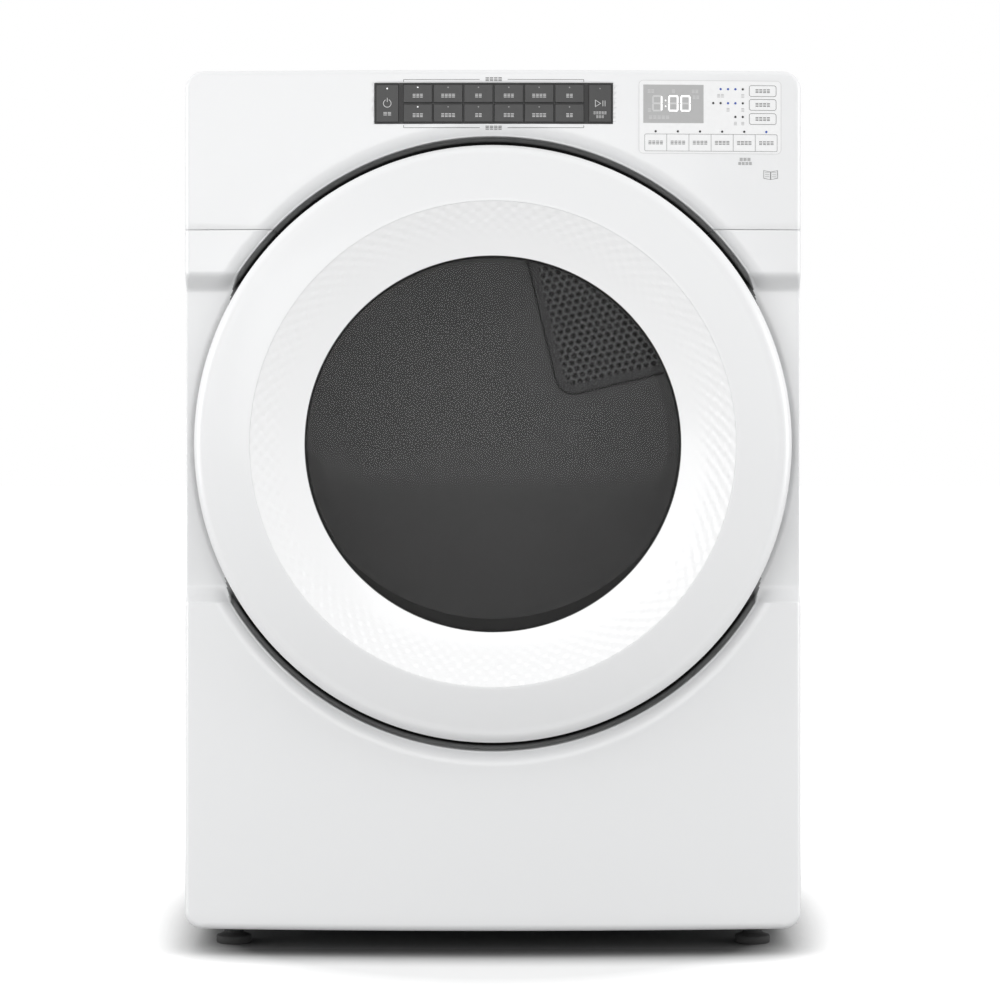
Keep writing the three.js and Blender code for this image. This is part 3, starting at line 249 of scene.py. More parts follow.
MATERIALS = {
    "white_paint": painted_steel(),
    "white_plastic": white_plastic(),
    "textured_white": textured_white(),
    "smoked_window": smoked_pane(),
    "dark_key": dark_plastic("dark_key", 0.044, 0.42),
    "black_plastic": dark_plastic("black_plastic", 0.012, 0.45),
    "display_face": plain_mark("display_face", (0.9, 0.903, 0.906)),
    "galvanised": galvanised(),
    "drum_steel": brushed("drum_steel", 0.62, 0.34, (1, 12, 1)),
    "grey_plastic": dark_plastic("grey_plastic", 0.3, 0.5),
    "rubber": rubber(),
    "felt": felt(),
    "duct_metal": brushed("duct_metal", 0.7, 0.3, (1, 1, 10)),
    "motor_steel": motor_enamel(),
    "circuit_board": circuit_board(),
}
PALE_MARK = plain_mark("pale_mark", (0.62, 0.62, 0.62))
WHITE_MARK = plain_mark("white_mark", (0.85, 0.85, 0.85), 0.6)
INK = plain_mark("grey_ink", grey(0.1))
LIGHT_INK = plain_mark("light_ink", grey(0.2))
PALE_INK = plain_mark("pale_ink", grey(0.68))
LCD_GREY = plain_mark("lcd_grey", grey(0.46))
LCD_WHITE = plain_mark("lcd_white", (0.9, 0.9, 0.9), 0.5)
LCD_GHOST = plain_mark("lcd_ghost", grey(0.62))
DARK_LAMP = plain_mark("dark_lamp", grey(0.015))
BLUE_LAMP = plain_mark("blue_lamp", (0.005, 0.06, 0.36), 0.12)
DIM_LAMP = plain_mark("dim_lamp", grey(0.3))


def clear_pane():
    look = Look("clear_pane", grey(0.3), 0.05).set(Alpha=0.04, Specular_IOR_Level=0.2)
    return look.vary_roughness(look.noise(30.0), 0.02).material


def recess_painted_shade():
    """Painted shade for the door's recess: black behind the door's rim, and lighter towards the recess's wall and in
    the scoops.
    """
    look = Look("recess_painted_shade", grey(0.006), 0.55).set(Specular_IOR_Level=0.12)
    coordinates = look.node("ShaderNodeTexCoord")
    around_door = look.node("ShaderNodeMapping", Location=(0, 0, -DOOR_Z), Scale=(1, 0, 1))
    look.link(coordinates.outputs["Object"], around_door.inputs["Vector"])
    radius = look.node("ShaderNodeVectorMath")
    radius.operation = "LENGTH"
    look.link(around_door.outputs["Vector"], radius.inputs[0])
    fade = look.node("ShaderNodeMapRange", From_Min=RECESS_RADIUS - 4 * MM, From_Max=RECESS_RADIUS + 1 * MM)
    look.link(radius.outputs["Value"], fade.inputs["Value"])
    parts = look.node("ShaderNodeSeparateXYZ")
    look.link(around_door.outputs["Vector"], parts.inputs["Vector"])
    height = look.node("ShaderNodeMath")
    height.operation = "ABSOLUTE"
    look.link(parts.outputs["Z"], height.inputs[0])
    scoop = look.node("ShaderNodeMapRange", From_Min=180 * MM, From_Max=122 * MM)
    look.link(height.outputs["Value"], scoop.inputs["Value"])
    paler = look.node("ShaderNodeMath")
    paler.operation = "MAXIMUM"
    look.link(fade.outputs["Result"], paler.inputs[0])
    look.link(scoop.outputs["Result"], paler.inputs[1])
    look.vary_color(paler.outputs["Value"], (0.83, 0.835, 0.84))
    look.vary_roughness(look.noise(90.0), 0.05)
    return look.bump(look.noise(1200.0, 2.0), 0.01 * MM, 0.5).material


CLEAR_PANE = clear_pane()
# Painted shade: black on the recess faces behind the door's rim, fading to white paint outwards and in the scoops.
RECESS_PAINTED_SHADE = recess_painted_shade()
GRILLE_WALL = dark_plastic("grille_wall", 0.32, 0.5)
GRILLE_RIM = dark_plastic("grille_rim", 0.16, 0.5)
DRUM_BACK = dark_plastic("drum_back", 0.2, 0.5)
# Painted shade: the heater housing is made near-black so that the grille's holes read as dark cavities.
HOLE_SHADE_BLACK = dark_plastic("heater_painted_shade", 0.02, 0.7)
PANE_TRIM = dark_plastic("pane_trim", 0.27, 0.5)

# ---------------------------------------------------------------- mesh making


def make_piece(name, points, faces, body, slot_name, replaced=(), material=None, smooth=True, merge=True):
    mesh = bpy.data.meshes.new(name)
    mesh.from_pydata([tuple(point) for point in points], [], faces)
    bm = bmesh.new()
    bm.from_mesh(mesh)
    if merge:
        bmesh.ops.remove_doubles(bm, verts=bm.verts, dist=1e-6)
    bmesh.ops.recalc_face_normals(bm, faces=bm.faces)
    bm.to_mesh(mesh)
    bm.free()
    mesh.polygons.foreach_set("use_smooth", [smooth] * len(mesh.polygons))
    piece = bpy.data.objects.new(name, mesh)
    bpy.context.collection.objects.link(piece)
    mesh.materials.append(material or MATERIALS[slot_name])
    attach(piece, body)
    if replaced:
        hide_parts(*replaced)
    return piece


def grid_faces(rows, columns, close_rows=False, close_columns=False, offset=0):
    faces = []
    for i in range(rows if close_rows else rows - 1):
        for j in range(columns if close_columns else columns - 1):
            below = (i + 1) % rows
            right = (j + 1) % columns
            faces.append(tuple(
                offset + a * columns + b for a, b in ((i, j), (i, right), (below, right), (below, j))
            ))
    return faces


def apply_modifiers(piece):
    """Makes what the modifiers give the piece's own mesh, so that helpers can be removed."""
    shaped = piece.evaluated_get(bpy.context.evaluated_depsgraph_get())
    mesh = bpy.data.meshes.new_from_object(shaped)
    piece.modifiers.clear()
    piece.data = mesh


def crease_by_angle(piece, degrees=35):
    """Smooth faces with sharp edges where the surface turns by more than the angle."""
    bm = bmesh.new()
    bm.from_mesh(piece.data)
    limit = math.radians(degrees)
    for edge in bm.edges:
        edge.smooth = len(edge.link_faces) == 2 and edge.calc_face_angle(0.0) < limit
    for face in bm.faces:
        face.smooth = True
    bm.to_mesh(piece.data)
    bm.free()


def round_edges(piece, width, segments=3, degrees=30):
    bevel = piece.modifiers.new("rounded_edges", "BEVEL")
    bevel.width = width
    bevel.segments = segments
    bevel.limit_method = "ANGLE"
    bevel.angle_limit = math.radians(degrees)
    bevel.harden_normals = True


def weld_and_round(node, width, segments):
    """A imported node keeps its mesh; its split corners are joined again before its edges are rounded."""
    weld = node.modifiers.new("joined_corners", "WELD")
    weld.merge_threshold = 0.005 * MM
    round_edges(node, width, segments)


def revolve(name, profile, body, slot_name, replaced=(), centre=(0.0, DOOR_Z), segments=256,
            material=None, ripple=None, closed=True, sharp=35):
    """Turns a profile of (radius, y) about an axis along Y through centre (x, z)."""
    points = []
    for i in range(segments):
        angle = 2 * math.pi * i / segments
        for radius, y in profile:
            push = ripple(radius, angle) if ripple else 0.0
            points.append((centre[0] + radius * math.cos(angle), y + push, centre[1] + radius * math.sin(angle)))
    faces = grid_faces(segments, len(profile), close_rows=True, close_columns=closed)
    piece = make_piece(name, points, faces, body, slot_name, replaced, material)
    crease_by_angle(piece, sharp)
    return piece


def arc(centre_u, centre_v, radius, start, end, steps):
    points = []
    for i in range(steps + 1):
        angle = math.radians(start + (end - start) * i / steps)
        points.append((centre_u + radius * math.cos(angle), centre_v + radius * math.sin(angle)))
    return points


def smoothstep(value, low, high):
    t = min(1.0, max(0.0, (value - low) / (high - low)))
    return t * t * (3 - 2 * t)


def bow_y(x):
    return FRONT_Y + BOW * (x / HALF_WIDTH) ** 2


def front_y(x, z):
    """The bowed front with the shallow dish that surrounds the door's recess."""
    outside = max(0.0, math.hypot(x, z - DOOR_Z) - RECESS_RADIUS - LIP_ROUND)
    return bow_y(x) + DISH_DEPTH * max(0.0, 1 - outside / DISH_WIDTH) ** 2

# ---------------------------------------------------------------- front shells

SIDE_ROUND = 6 * MM
SCOOP_ROUND = 1.6 * MM
TOP_ROUND = 5.5 * MM
BOTTOM_ROUND = 9 * MM
FLOOR_ROUND = 6 * MM
SOFT_STEP = 14 * MM              # how wide the recess's step is where the scoop runs into it
TOP_CORNER = 20 * MM
BOTTOM_CORNER = 20 * MM
SKIN = 1.2 * MM
FAN_START = 45                   # degrees below the door's axis where rays start to fan out
# Where the recess's painted shade goes: the black material on the front panel's recess faces.
SHADE_INNER_RADIUS = 315 * MM
SHADE_FRONT_Y = FRONT_Y + 11 * MM
SHADE_OUTER_RADIUS = 342 * MM
SHADE_TAPER = 64 * MM           # how far into the scoops the painted shade runs out
SEAM_FOLD = ((0.5, 0.0), (0.15, 0.15), (0.0, 0.5), (0.0, 4.0))


def scoop_share(z):
    """How much of the side scoop shows at a height: 0 on the plain front, 1 in the scoop."""
    low = min(1.0, max(0.0, (z - WAIST_BOTTOM) / WAIST_SLOPE))
    high = 1 - smoothstep(z, WAIST_TOP - WAIST_SLOPE, WAIST_TOP + 4 * MM)
    return min(low * (2 - low), high)


def front_level(x, z):
    share = scoop_share(z)
    return front_y(x, z) * (1 - share) + WAIST_Y * share


def recess_profile(level, share):
    """(distance outside the recess circle, y) from the recess floor to the front surface."""
    steps = 5
    points = []
    for i in range(2 * steps + 2):
        if i <= steps:
            turn = math.radians(90 * i / steps)
            steep = (FLOOR_ROUND * (math.sin(turn) - 1), RECESS_FLOOR_Y - FLOOR_ROUND * (1 - math.cos(turn)))
        else:
            turn = math.radians(90 * (i - steps - 1) / steps)
            steep = (LIP_ROUND * (1 - math.cos(turn)), level + LIP_ROUND * (1 - math.sin(turn)))
        along = i / (2 * steps + 1)
        soft = (SOFT_STEP * (along - 1), RECESS_FLOOR_Y + (level - RECESS_FLOOR_Y) * smoothstep(along, 0, 1))
        points.append(tuple(a * (1 - share) + b * share for a, b in zip(steep, soft)))
    return points


def front_ray(angle, end, normal, corner_round, surface_steps=34):
    """Points from the throat, over the recess floor, its wall and the front, to the return."""
    radial = (math.cos(angle), math.sin(angle))
    start = (RECESS_RADIUS * radial[0], DOOR_Z + RECESS_RADIUS * radial[1])
    share = scoop_share(start[1]) if abs(normal[0]) > 0.99 else 0.0
    edge_round = corner_round * (1 - share) + SCOOP_ROUND * share
    span = (end[0] - start[0], end[1] - start[1])
    length = math.hypot(*span)
    along = (span[0] / length, span[1] / length)
    lean = max(0.3, along[0] * normal[0] + along[1] * normal[1])
    facing = max(0.3, along[0] * radial[0] + along[1] * radial[1])
    profile = recess_profile(front_level(*start), share)
    inner_end = RECESS_RADIUS + profile[0][0]
    points = []
    for y in (RECESS_FLOOR_Y + 6 * MM, RECESS_FLOOR_Y + 1 * MM):
        points.append((THROAT_RADIUS * radial[0], y, DOOR_Z + THROAT_RADIUS * radial[1]))
    for i in range(9):
        radius = THROAT_RADIUS + 1 * MM + (inner_end - THROAT_RADIUS - 1 * MM) * i / 9
        points.append((radius * radial[0], RECESS_FLOOR_Y, DOOR_Z + radius * radial[1]))
    for distance, y in profile:
        if distance <= 0:
            radius = RECESS_RADIUS + distance
            points.append((radius * radial[0], y, DOOR_Z + radius * radial[1]))
        else:
            reach = distance / facing
            points.append((start[0] + along[0] * reach, y, start[1] + along[1] * reach))
    first = max(0.0, profile[-1][0]) / facing
    last = length - edge_round / lean
    for i in range(1, surface_steps):
        reach = first + (last - first) * (i / surface_steps) ** 1.7
        x, z = start[0] + along[0] * reach, start[1] + along[1] * reach
        points.append((x, front_level(x, z), z))
    for i in range(9):
        turn = math.radians(90 * i / 8)
        reach = length - edge_round * (1 - math.sin(turn)) / lean
        x, z = start[0] + along[0] * reach, start[1] + along[1] * reach
        points.append((x, front_level(x, z) + edge_round * (1 - math.cos(turn)), z))
    edge_y = points[-1][1]
    for i in range(1, 5):
        points.append((end[0], edge_y + (RETURN_Y - edge_y) * i / 4, end[1]))
    return points


def side_ray(side, z):
    angle = math.asin((z - DOOR_Z) / RECESS_RADIUS)
    angle = angle if side > 0 else math.pi - angle
    return front_ray(angle, (side * HALF_WIDTH, z), (side, 0.0), SIDE_ROUND)


def folded_seam(side, seam_z, inset, depth):
    """A level ray next to the seam under the console, sunk into the sheet by a depth."""
    ray = [Vector(point) for point in side_ray(side, seam_z)]
    folded = []
    for i, point in enumerate(ray):
        run = (ray[min(i + 1, len(ray) - 1)] - ray[max(i - 1, 0)]).normalized()
        inwards = Vector((0, 0, side)).cross(run)
        folded.append(tuple(point + inwards * depth + Vector((0, 0, inset))))
    return folded


def panel_side_heights(low, high):
    """Heights of the level rays: close together where the scoop turns."""
    heights = []
    z = low
    while z < high:
        heights.append(z)
        turning = WAIST_BOTTOM - 4 * MM < z < WAIST_BOTTOM + 1.3 * WAIST_SLOPE
        turning = turning or WAIST_TOP - 1.4 * WAIST_SLOPE < z < WAIST_TOP + 8 * MM
        z += (1.2 if turning else 5.0) * MM
        if heights[-1] < WAIST_BOTTOM < z:
            heights.append(WAIST_BOTTOM - 0.2 * MM)
            z = WAIST_BOTTOM + 0.2 * MM
    return heights


def outline_run(half, side_from, edge_z, corner):
    """Outline samples (point, normal, rounding) from the right side round an end to the left side."""
    sign = 1 if edge_z > side_from else -1
    corner_z = edge_z - sign * corner
    end_round = TOP_ROUND if sign > 0 else BOTTOM_ROUND
    run = []
    side_count = max(2, round(abs(corner_z - side_from) / (9 * MM)))
    for i in range(side_count):
        run.append(((half, side_from + (corner_z - side_from) * i / side_count), (1.0, 0.0), SIDE_ROUND))
    for i in range(13):
        turn = math.radians(90 * i / 12)
        normal = (math.cos(turn), sign * math.sin(turn))
        point = (half - corner + corner * normal[0], corner_z + corner * normal[1])
        share = math.sin(turn) ** 2
        run.append((point, normal, SIDE_ROUND * (1 - share) + end_round * share))
    edge_count = round((half - corner) / (6 * MM))
    for i in range(1, edge_count):
        run.append((((half - corner) * (1 - i / edge_count), edge_z), (0.0, float(sign)), end_round))
    middle = [((0.0, edge_z), (0.0, float(sign)), end_round)]
    mirrored = [((-p[0], p[1]), (-n[0], n[1]), r) for p, n, r in reversed(run)]
    return run + middle + mirrored


def fan_rays(half, side_from, edge_z, corner):
    run = outline_run(half, side_from, edge_z, corner)
    travelled = [0.0]
    for (a, _, _), (b, _, _) in zip(run, run[1:]):
        travelled.append(travelled[-1] + math.dist(a, b))
    first = math.asin((side_from - DOOR_Z) / RECESS_RADIUS)
    last = math.pi - first
    if edge_z < side_from:
        last = -math.pi - first
    return [
        front_ray(first + (last - first) * distance / travelled[-1], point, normal, rounding)
        for distance, (point, normal, rounding) in zip(travelled, run)
    ]


def thicken(piece, thickness):
    solid = piece.modifiers.new("sheet", "SOLIDIFY")
    solid.thickness = thickness
    solid.offset = -1.0
    solid.use_even_offset = False


def front_shell(name, rays, body, slot_name, replaced):
    points = [point for ray in rays for point in ray]
    faces = grid_faces(len(rays), len(rays[0]))
    piece = make_piece(name, points, faces, body, slot_name, replaced)
    turn_towards(piece, Vector((0, -1, 0)))
    crease_by_angle(piece, 40)
    paint_recess_shade(piece)
    return piece


def painted_shade_edge(z):
    """The outer radius of the painted black shade, which narrows to nothing inside the scoops."""
    inside = min(z - WAIST_BOTTOM, WAIST_TOP - z)
    share = min(1.0, max(0.0, inside / SHADE_TAPER))
    return SHADE_OUTER_RADIUS - (SHADE_OUTER_RADIUS - DOOR_RADIUS + 3 * MM) * share


def paint_recess_shade(piece):
    """The deep part of the recess, behind the door's rim, is given a black material: painted shade."""
    piece.data.materials.append(RECESS_PAINTED_SHADE)
    for face in piece.data.polygons:
        x, y, z = face.center
        radius = math.hypot(x, z - DOOR_Z)
        in_painted_shade = SHADE_INNER_RADIUS < radius < painted_shade_edge(z) and y > SHADE_FRONT_Y
        face.material_index = int(in_painted_shade)


def turn_towards(piece, direction):
    """Turns an open sheet over if most of it faces away from the direction."""
    facing = sum(face.normal.dot(direction) * face.area for face in piece.data.polygons)
    if facing < 0:
        piece.data.flip_normals()


def build_front_panel():
    fan_z = DOOR_Z - RECESS_RADIUS * math.sin(math.radians(FAN_START))
    seam_z = SEAM_Z - SEAM_GAP / 2
    heights = panel_side_heights(fan_z, seam_z - 0.6 * MM)
    folds = [(-inset * MM, depth * MM) for inset, depth in SEAM_FOLD]
    rays = [folded_seam(1, seam_z, inset, depth) for inset, depth in reversed(folds)]
    rays += [side_ray(1, z) for z in reversed(heights[1:])]
    rays += fan_rays(HALF_WIDTH, fan_z, BOTTOM_Z, BOTTOM_CORNER)
    rays += [side_ray(-1, z) for z in heights[1:]]
    rays += [folded_seam(-1, seam_z, inset, depth) for inset, depth in folds]
    piece = front_shell("front_panel_skin", rays, "cabinet", "white_paint", ["front_panel"])
    thicken(piece, SKIN)
    return piece


def cut_rectangle(piece, x_range, z_range, reach_y):
    """Opens a rectangular window in a front skin."""
    bm = bmesh.new()
    bm.from_mesh(piece.data)
    cuts = [((x, 0, 0), (1, 0, 0)) for x in x_range] + [((0, 0, z), (0, 0, 1)) for z in z_range]
    margin = 5 * MM
    for place, normal in cuts:
        near = [
            face for face in bm.faces
            if x_range[0] - margin < face.calc_center_median().x < x_range[1] + margin
            and z_range[0] - margin < face.calc_center_median().z < z_range[1] + margin
            and face.calc_center_median().y < reach_y
        ]
        around = set(near) | {edge for face in near for edge in face.edges}
        around |= {vert for face in near for vert in face.verts}
        bmesh.ops.bisect_plane(bm, geom=list(around), plane_co=place, plane_no=normal, dist=1e-7)
    inside = []
    for face in bm.faces:
        middle = face.calc_center_median()
        if x_range[0] < middle.x < x_range[1] and z_range[0] < middle.z < z_range[1] and middle.y < reach_y:
            inside.append(face)
    bmesh.ops.delete(bm, geom=inside, context="FACES")
    bm.to_mesh(piece.data)
    bm.free()


def build_console():
    seam_z = SEAM_Z + SEAM_GAP / 2
    folds = [(inset * MM, depth * MM) for inset, depth in SEAM_FOLD]
    rays = [folded_seam(1, seam_z, inset, depth) for inset, depth in reversed(folds[1:])]
    rays += fan_rays(HALF_WIDTH, seam_z + folds[0][0], TOP_Z, TOP_CORNER)
    rays += [folded_seam(-1, seam_z, inset, depth) for inset, depth in folds[1:]]
    piece = front_shell("console_skin", rays, "cabinet", "white_plastic", ["console_fascia"])
    clearance = 0.3 * MM
    cut_rectangle(
        piece, (STRIP_LOW.x - clearance, STRIP_HIGH.x + clearance),
        (STRIP_LOW.z - clearance, STRIP_HIGH.z + clearance), FRONT_Y + BOW,
    )
    thicken(piece, SKIN)
    return piece

# ---------------------------------------------------------------- door

DIMPLES_ROUND = 104
DIMPLE_ROW = 6 * MM
DIMPLE_DEPTH = 0.42 * MM
DIMPLES_INNER = 232 * MM
WINDOW_Y = WINDOW_LOW.y


def build_door_frame():
    crest_y = DOOR_FRONT_Y
    rim_y = DOOR_FRONT_Y + 21 * MM
    rim_round = 14 * MM
    joint = CREST_RADIUS + 0.05 * MM
    profile = [(joint, crest_y + 4 * MM), (joint, crest_y + 0.3 * MM)]
    profile += arc(joint + 0.3 * MM, crest_y + 0.3 * MM, 0.3 * MM, 180, 270, 3)[1:]
    field_end = DOOR_RADIUS - rim_round
    field_drop = 10 * MM
    for i in range(1, 15):
        along = i / 14
        radius = joint + 0.3 * MM + (field_end - joint - 0.3 * MM) * along
        profile.append((radius, crest_y + field_drop * (0.75 * along + 0.25 * along * along)))
    profile += arc(field_end, crest_y + field_drop + rim_round, rim_round, 282, 360, 9)
    profile += [(DOOR_RADIUS, (rim_y + DOOR_BACK_Y) / 2), (DOOR_RADIUS, DOOR_BACK_Y - 1 * MM)]
    profile += [(DOOR_RADIUS - 0.8 * MM, DOOR_BACK_Y), (DOOR_RADIUS - 2.5 * MM, DOOR_BACK_Y)]
    profile += [(DOOR_RADIUS - 2.8 * MM, rim_y + 2 * MM), (DOOR_RADIUS - 10 * MM, crest_y + 17 * MM)]
    return revolve("door_frame_shell", profile, "door", "white_plastic", ["door_frame"], segments=288)


def dimple(radius, angle):
    """Staggered shallow waves of uneven depth, strongest at the crest and gone before the window."""
    rows = math.cos(math.pi * (CREST_RADIUS - radius) / DIMPLE_ROW)
    depth = DIMPLE_DEPTH * smoothstep(radius, DIMPLES_INNER - 14 * MM, CREST_RADIUS - 12 * MM)
    patches = 0.6 + 0.4 * math.sin(47 * angle + 900 * radius) * math.sin(31 * angle - 700 * radius)
    return depth * patches * rows * math.cos(DIMPLES_ROUND * angle)


def build_door_bezel():
    crest = (CREST_RADIUS - 0.05 * MM, DOOR_FRONT_Y + 0.2 * MM)
    inner = (WINDOW_RADIUS + 0.6 * MM, WINDOW_Y - 1.2 * MM)
    rings = 64
    front = []
    for i in range(rings + 1):
        along = i / rings
        radius = crest[0] + (inner[0] - crest[0]) * along
        front.append((radius, crest[1] + (inner[1] - crest[1]) * (1.25 * along - 0.25 * along * along)))
    back = [(WINDOW_RADIUS + 0.6 * MM, WINDOW_Y + 6 * MM), (WINDOW_RADIUS + 3 * MM, WINDOW_Y + 6 * MM)]
    back += [(WINDOW_RADIUS + 3 * MM, WINDOW_Y + 1.6 * MM), (crest[0], crest[1] + 3 * MM)]
    front_radii = {radius for radius, _ in front}

    def ripple(radius, angle):
        return dimple(radius, angle) if radius in front_radii and radius > inner[0] else 0.0

    return revolve(
        "door_bezel_ring", front + back, "door", "textured_white", ["door_bezel"],
        segments=10 * DIMPLES_ROUND, ripple=ripple, sharp=50,
    )


def domed_disc(radius, front_y, thickness, crown, edge):
    """Profile of a round pane, from its front middle round its edge to its back middle."""
    profile = []
    for i in range(12):
        along = i / 12
        profile.append((radius * along * 0.985, front_y - crown * (1 - along * along)))
    profile += [(radius - edge, front_y), (radius - 0.3 * edge, front_y + 0.3 * edge), (radius, front_y + edge)]
    profile += [(radius, front_y + thickness - edge), (radius - edge, front_y + thickness)]
    profile += [(radius * 0.5, front_y + thickness - 0.7 * crown), (0.0, front_y + thickness - crown)]
    return profile


def build_panes():
    window = domed_disc(WINDOW_RADIUS, WINDOW_LOW.y + 1 * MM, 3.5 * MM, 1.0 * MM, 0.8 * MM)
    revolve("door_window_pane", window, "door", "smoked_window", ["door_window"], segments=192, closed=False)
    low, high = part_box("door_inner_glass")
    inner = domed_disc(high.x, low.y, high.y - low.y, 0.4 * MM, 0.6 * MM)
    revolve("door_inner_pane", inner, "door", "smoked_window", ["door_inner_glass"], segments=128,
            material=CLEAR_PANE, closed=False)


def build_pane_trim():
    """The dark lower lip between the panes: a crescent that a larger, higher circle cuts off."""
    outer_radius = WINDOW_RADIUS - 0.5 * MM
    cut_radius = 226 * MM
    cut_centre = 33 * MM
    y_front, y_back = WINDOW_Y + 12 * MM, WINDOW_Y + 15 * MM
    tip = math.asin((outer_radius ** 2 + cut_centre ** 2 - cut_radius ** 2) / (2 * outer_radius * cut_centre))
    steps = 96
    lower, upper = [], []
    for i in range(steps + 1):
        angle = tip + (-math.pi - 2 * tip) * i / steps
        x, z = outer_radius * math.cos(angle), outer_radius * math.sin(angle)
        lower.append((x, z))
        upper.append((x, cut_centre - math.sqrt(cut_radius ** 2 - x * x)))
    rows = []
    for (x, z), (_, top) in zip(lower, upper):
        top = max(top, z + 0.2 * MM)
        rows.append([(x, y_front, z), (x, y_back, z), (x, y_back, top), (x, y_front + 1 * MM, top)])
    points = [(x, y, z + DOOR_Z) for row in rows for x, y, z in row]
    faces = grid_faces(len(rows), 4, close_columns=True)
    faces += [(0, 1, 2, 3), tuple(4 * steps + k for k in (3, 2, 1, 0))]
    return make_piece("door_pane_trim", points, faces, "door", "black_plastic", material=PANE_TRIM, smooth=False)


def build_inner_panel():
    outer = DOOR_RADIUS - 3.3 * MM
    rim_y = DOOR_BACK_Y + 0.5 * MM
    field_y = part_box("door_inner_panel")[1].y
    pane = WINDOW_RADIUS + 0.5 * MM
    wall = 2 * MM
    profile = [(outer, rim_y - wall), (outer, rim_y - 0.4 * MM), (outer - 0.4 * MM, rim_y)]
    profile += arc(303 * MM, rim_y + 5 * MM, 5 * MM, 270, 206, 5)
    profile += arc(285 * MM, field_y - 5 * MM, 5 * MM, 26, 90, 5)
    profile += [(246 * MM, field_y), (244 * MM, field_y - 0.8 * MM), (240 * MM, field_y - 0.8 * MM)]
    profile += [(238 * MM, field_y), (pane + 1.2 * MM, field_y)]
    profile += arc(pane + 1.2 * MM, field_y - 1.2 * MM, 1.2 * MM, 90, 180, 4)[1:]
    profile += [(pane, field_y - 14 * MM), (pane + wall, field_y - 14 * MM), (pane + wall, field_y - wall)]
    profile += [(286 * MM, field_y - wall), (300 * MM, rim_y - wall)]
    revolve("door_inner_shell", profile, "door", "grey_plastic", ["door_inner_panel"], segments=192)


def build_gasket():
    low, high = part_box("door_gasket")
    inner = 256 * MM
    outer = high.x
    middle = (inner + outer) / 2
    profile = [(inner, low.y), (outer, low.y), (outer - 0.5 * MM, low.y + 1.2 * MM)]
    profile += arc(middle, low.y + 1.4 * MM, 2 * MM, 0, 180, 6)
    profile += [(inner + 0.5 * MM, low.y + 1.2 * MM)]
    limit = high.y
    profile = [(radius, min(y, limit)) for radius, y in profile]
    revolve("door_gasket_ring", profile, "door", "rubber", ["door_gasket"], segments=128)


# ---------------------------------------------------------------- drum and rear of the drum


def build_drum():
    low, high = DRUM_LOW, DRUM_HIGH
    neck = 264 * MM
    shoulder_y = low.y + 36 * MM
    neck_end = low.y + 16 * MM
    wall = 0.8 * MM
    outer = [(neck, low.y), (neck, neck_end)]
    outer += [(neck + 8 * MM, neck_end + 2.5 * MM), (DRUM_RADIUS - 9 * MM, shoulder_y - 4 * MM)]
    outer += [(DRUM_RADIUS - 2 * MM, shoulder_y - 1 * MM), (DRUM_RADIUS, shoulder_y + 3 * MM)]
    bead_depth = 2.5 * MM
    for bead_y in (low.y + 120 * MM, low.y + 180 * MM, high.y - 180 * MM, high.y - 120 * MM):
        outer += [(DRUM_RADIUS, bead_y - 6 * MM), (DRUM_RADIUS - 0.6 * bead_depth, bead_y - 3 * MM)]
        outer += [(DRUM_RADIUS - bead_depth, bead_y), (DRUM_RADIUS - 0.6 * bead_depth, bead_y + 3 * MM)]
        outer += [(DRUM_RADIUS, bead_y + 6 * MM)]
    outer += [(DRUM_RADIUS, high.y)]
    inner = [(radius - wall, y) for radius, y in reversed(outer)]
    revolve("drum_cylinder", outer + inner, "drum", "drum_steel", ["drum_shell"], segments=192)


GRILLE_TILT = math.radians(13.5)
GRILLE_CORNER = (92 * MM, 67 * MM)
GRILLE_CORNER_RADIUS = 17 * MM
GRILLE_RADIUS = 283 * MM
HOLE_PITCH = 9.9 * MM
HOLE_RADIUS = 3.7 * MM


def grille_depth(x, z):
    """How far a point, relative to the drum axis, lies inside the grille's outline."""
    across = x * math.cos(GRILLE_TILT) + z * math.sin(GRILLE_TILT)
    up = -x * math.sin(GRILLE_TILT) + z * math.cos(GRILLE_TILT)
    corner_across = GRILLE_CORNER[0] * math.cos(GRILLE_TILT) + GRILLE_CORNER[1] * math.sin(GRILLE_TILT)
    corner_up = -GRILLE_CORNER[0] * math.sin(GRILLE_TILT) + GRILLE_CORNER[1] * math.cos(GRILLE_TILT)
    a, u = across - corner_across, up - corner_up
    if a < GRILLE_CORNER_RADIUS and u < GRILLE_CORNER_RADIUS:
        side = GRILLE_CORNER_RADIUS - math.hypot(GRILLE_CORNER_RADIUS - a, GRILLE_CORNER_RADIUS - u)
    else:
        side = min(a, u)
    return min(side, GRILLE_RADIUS - 8 * MM - math.hypot(x, z))


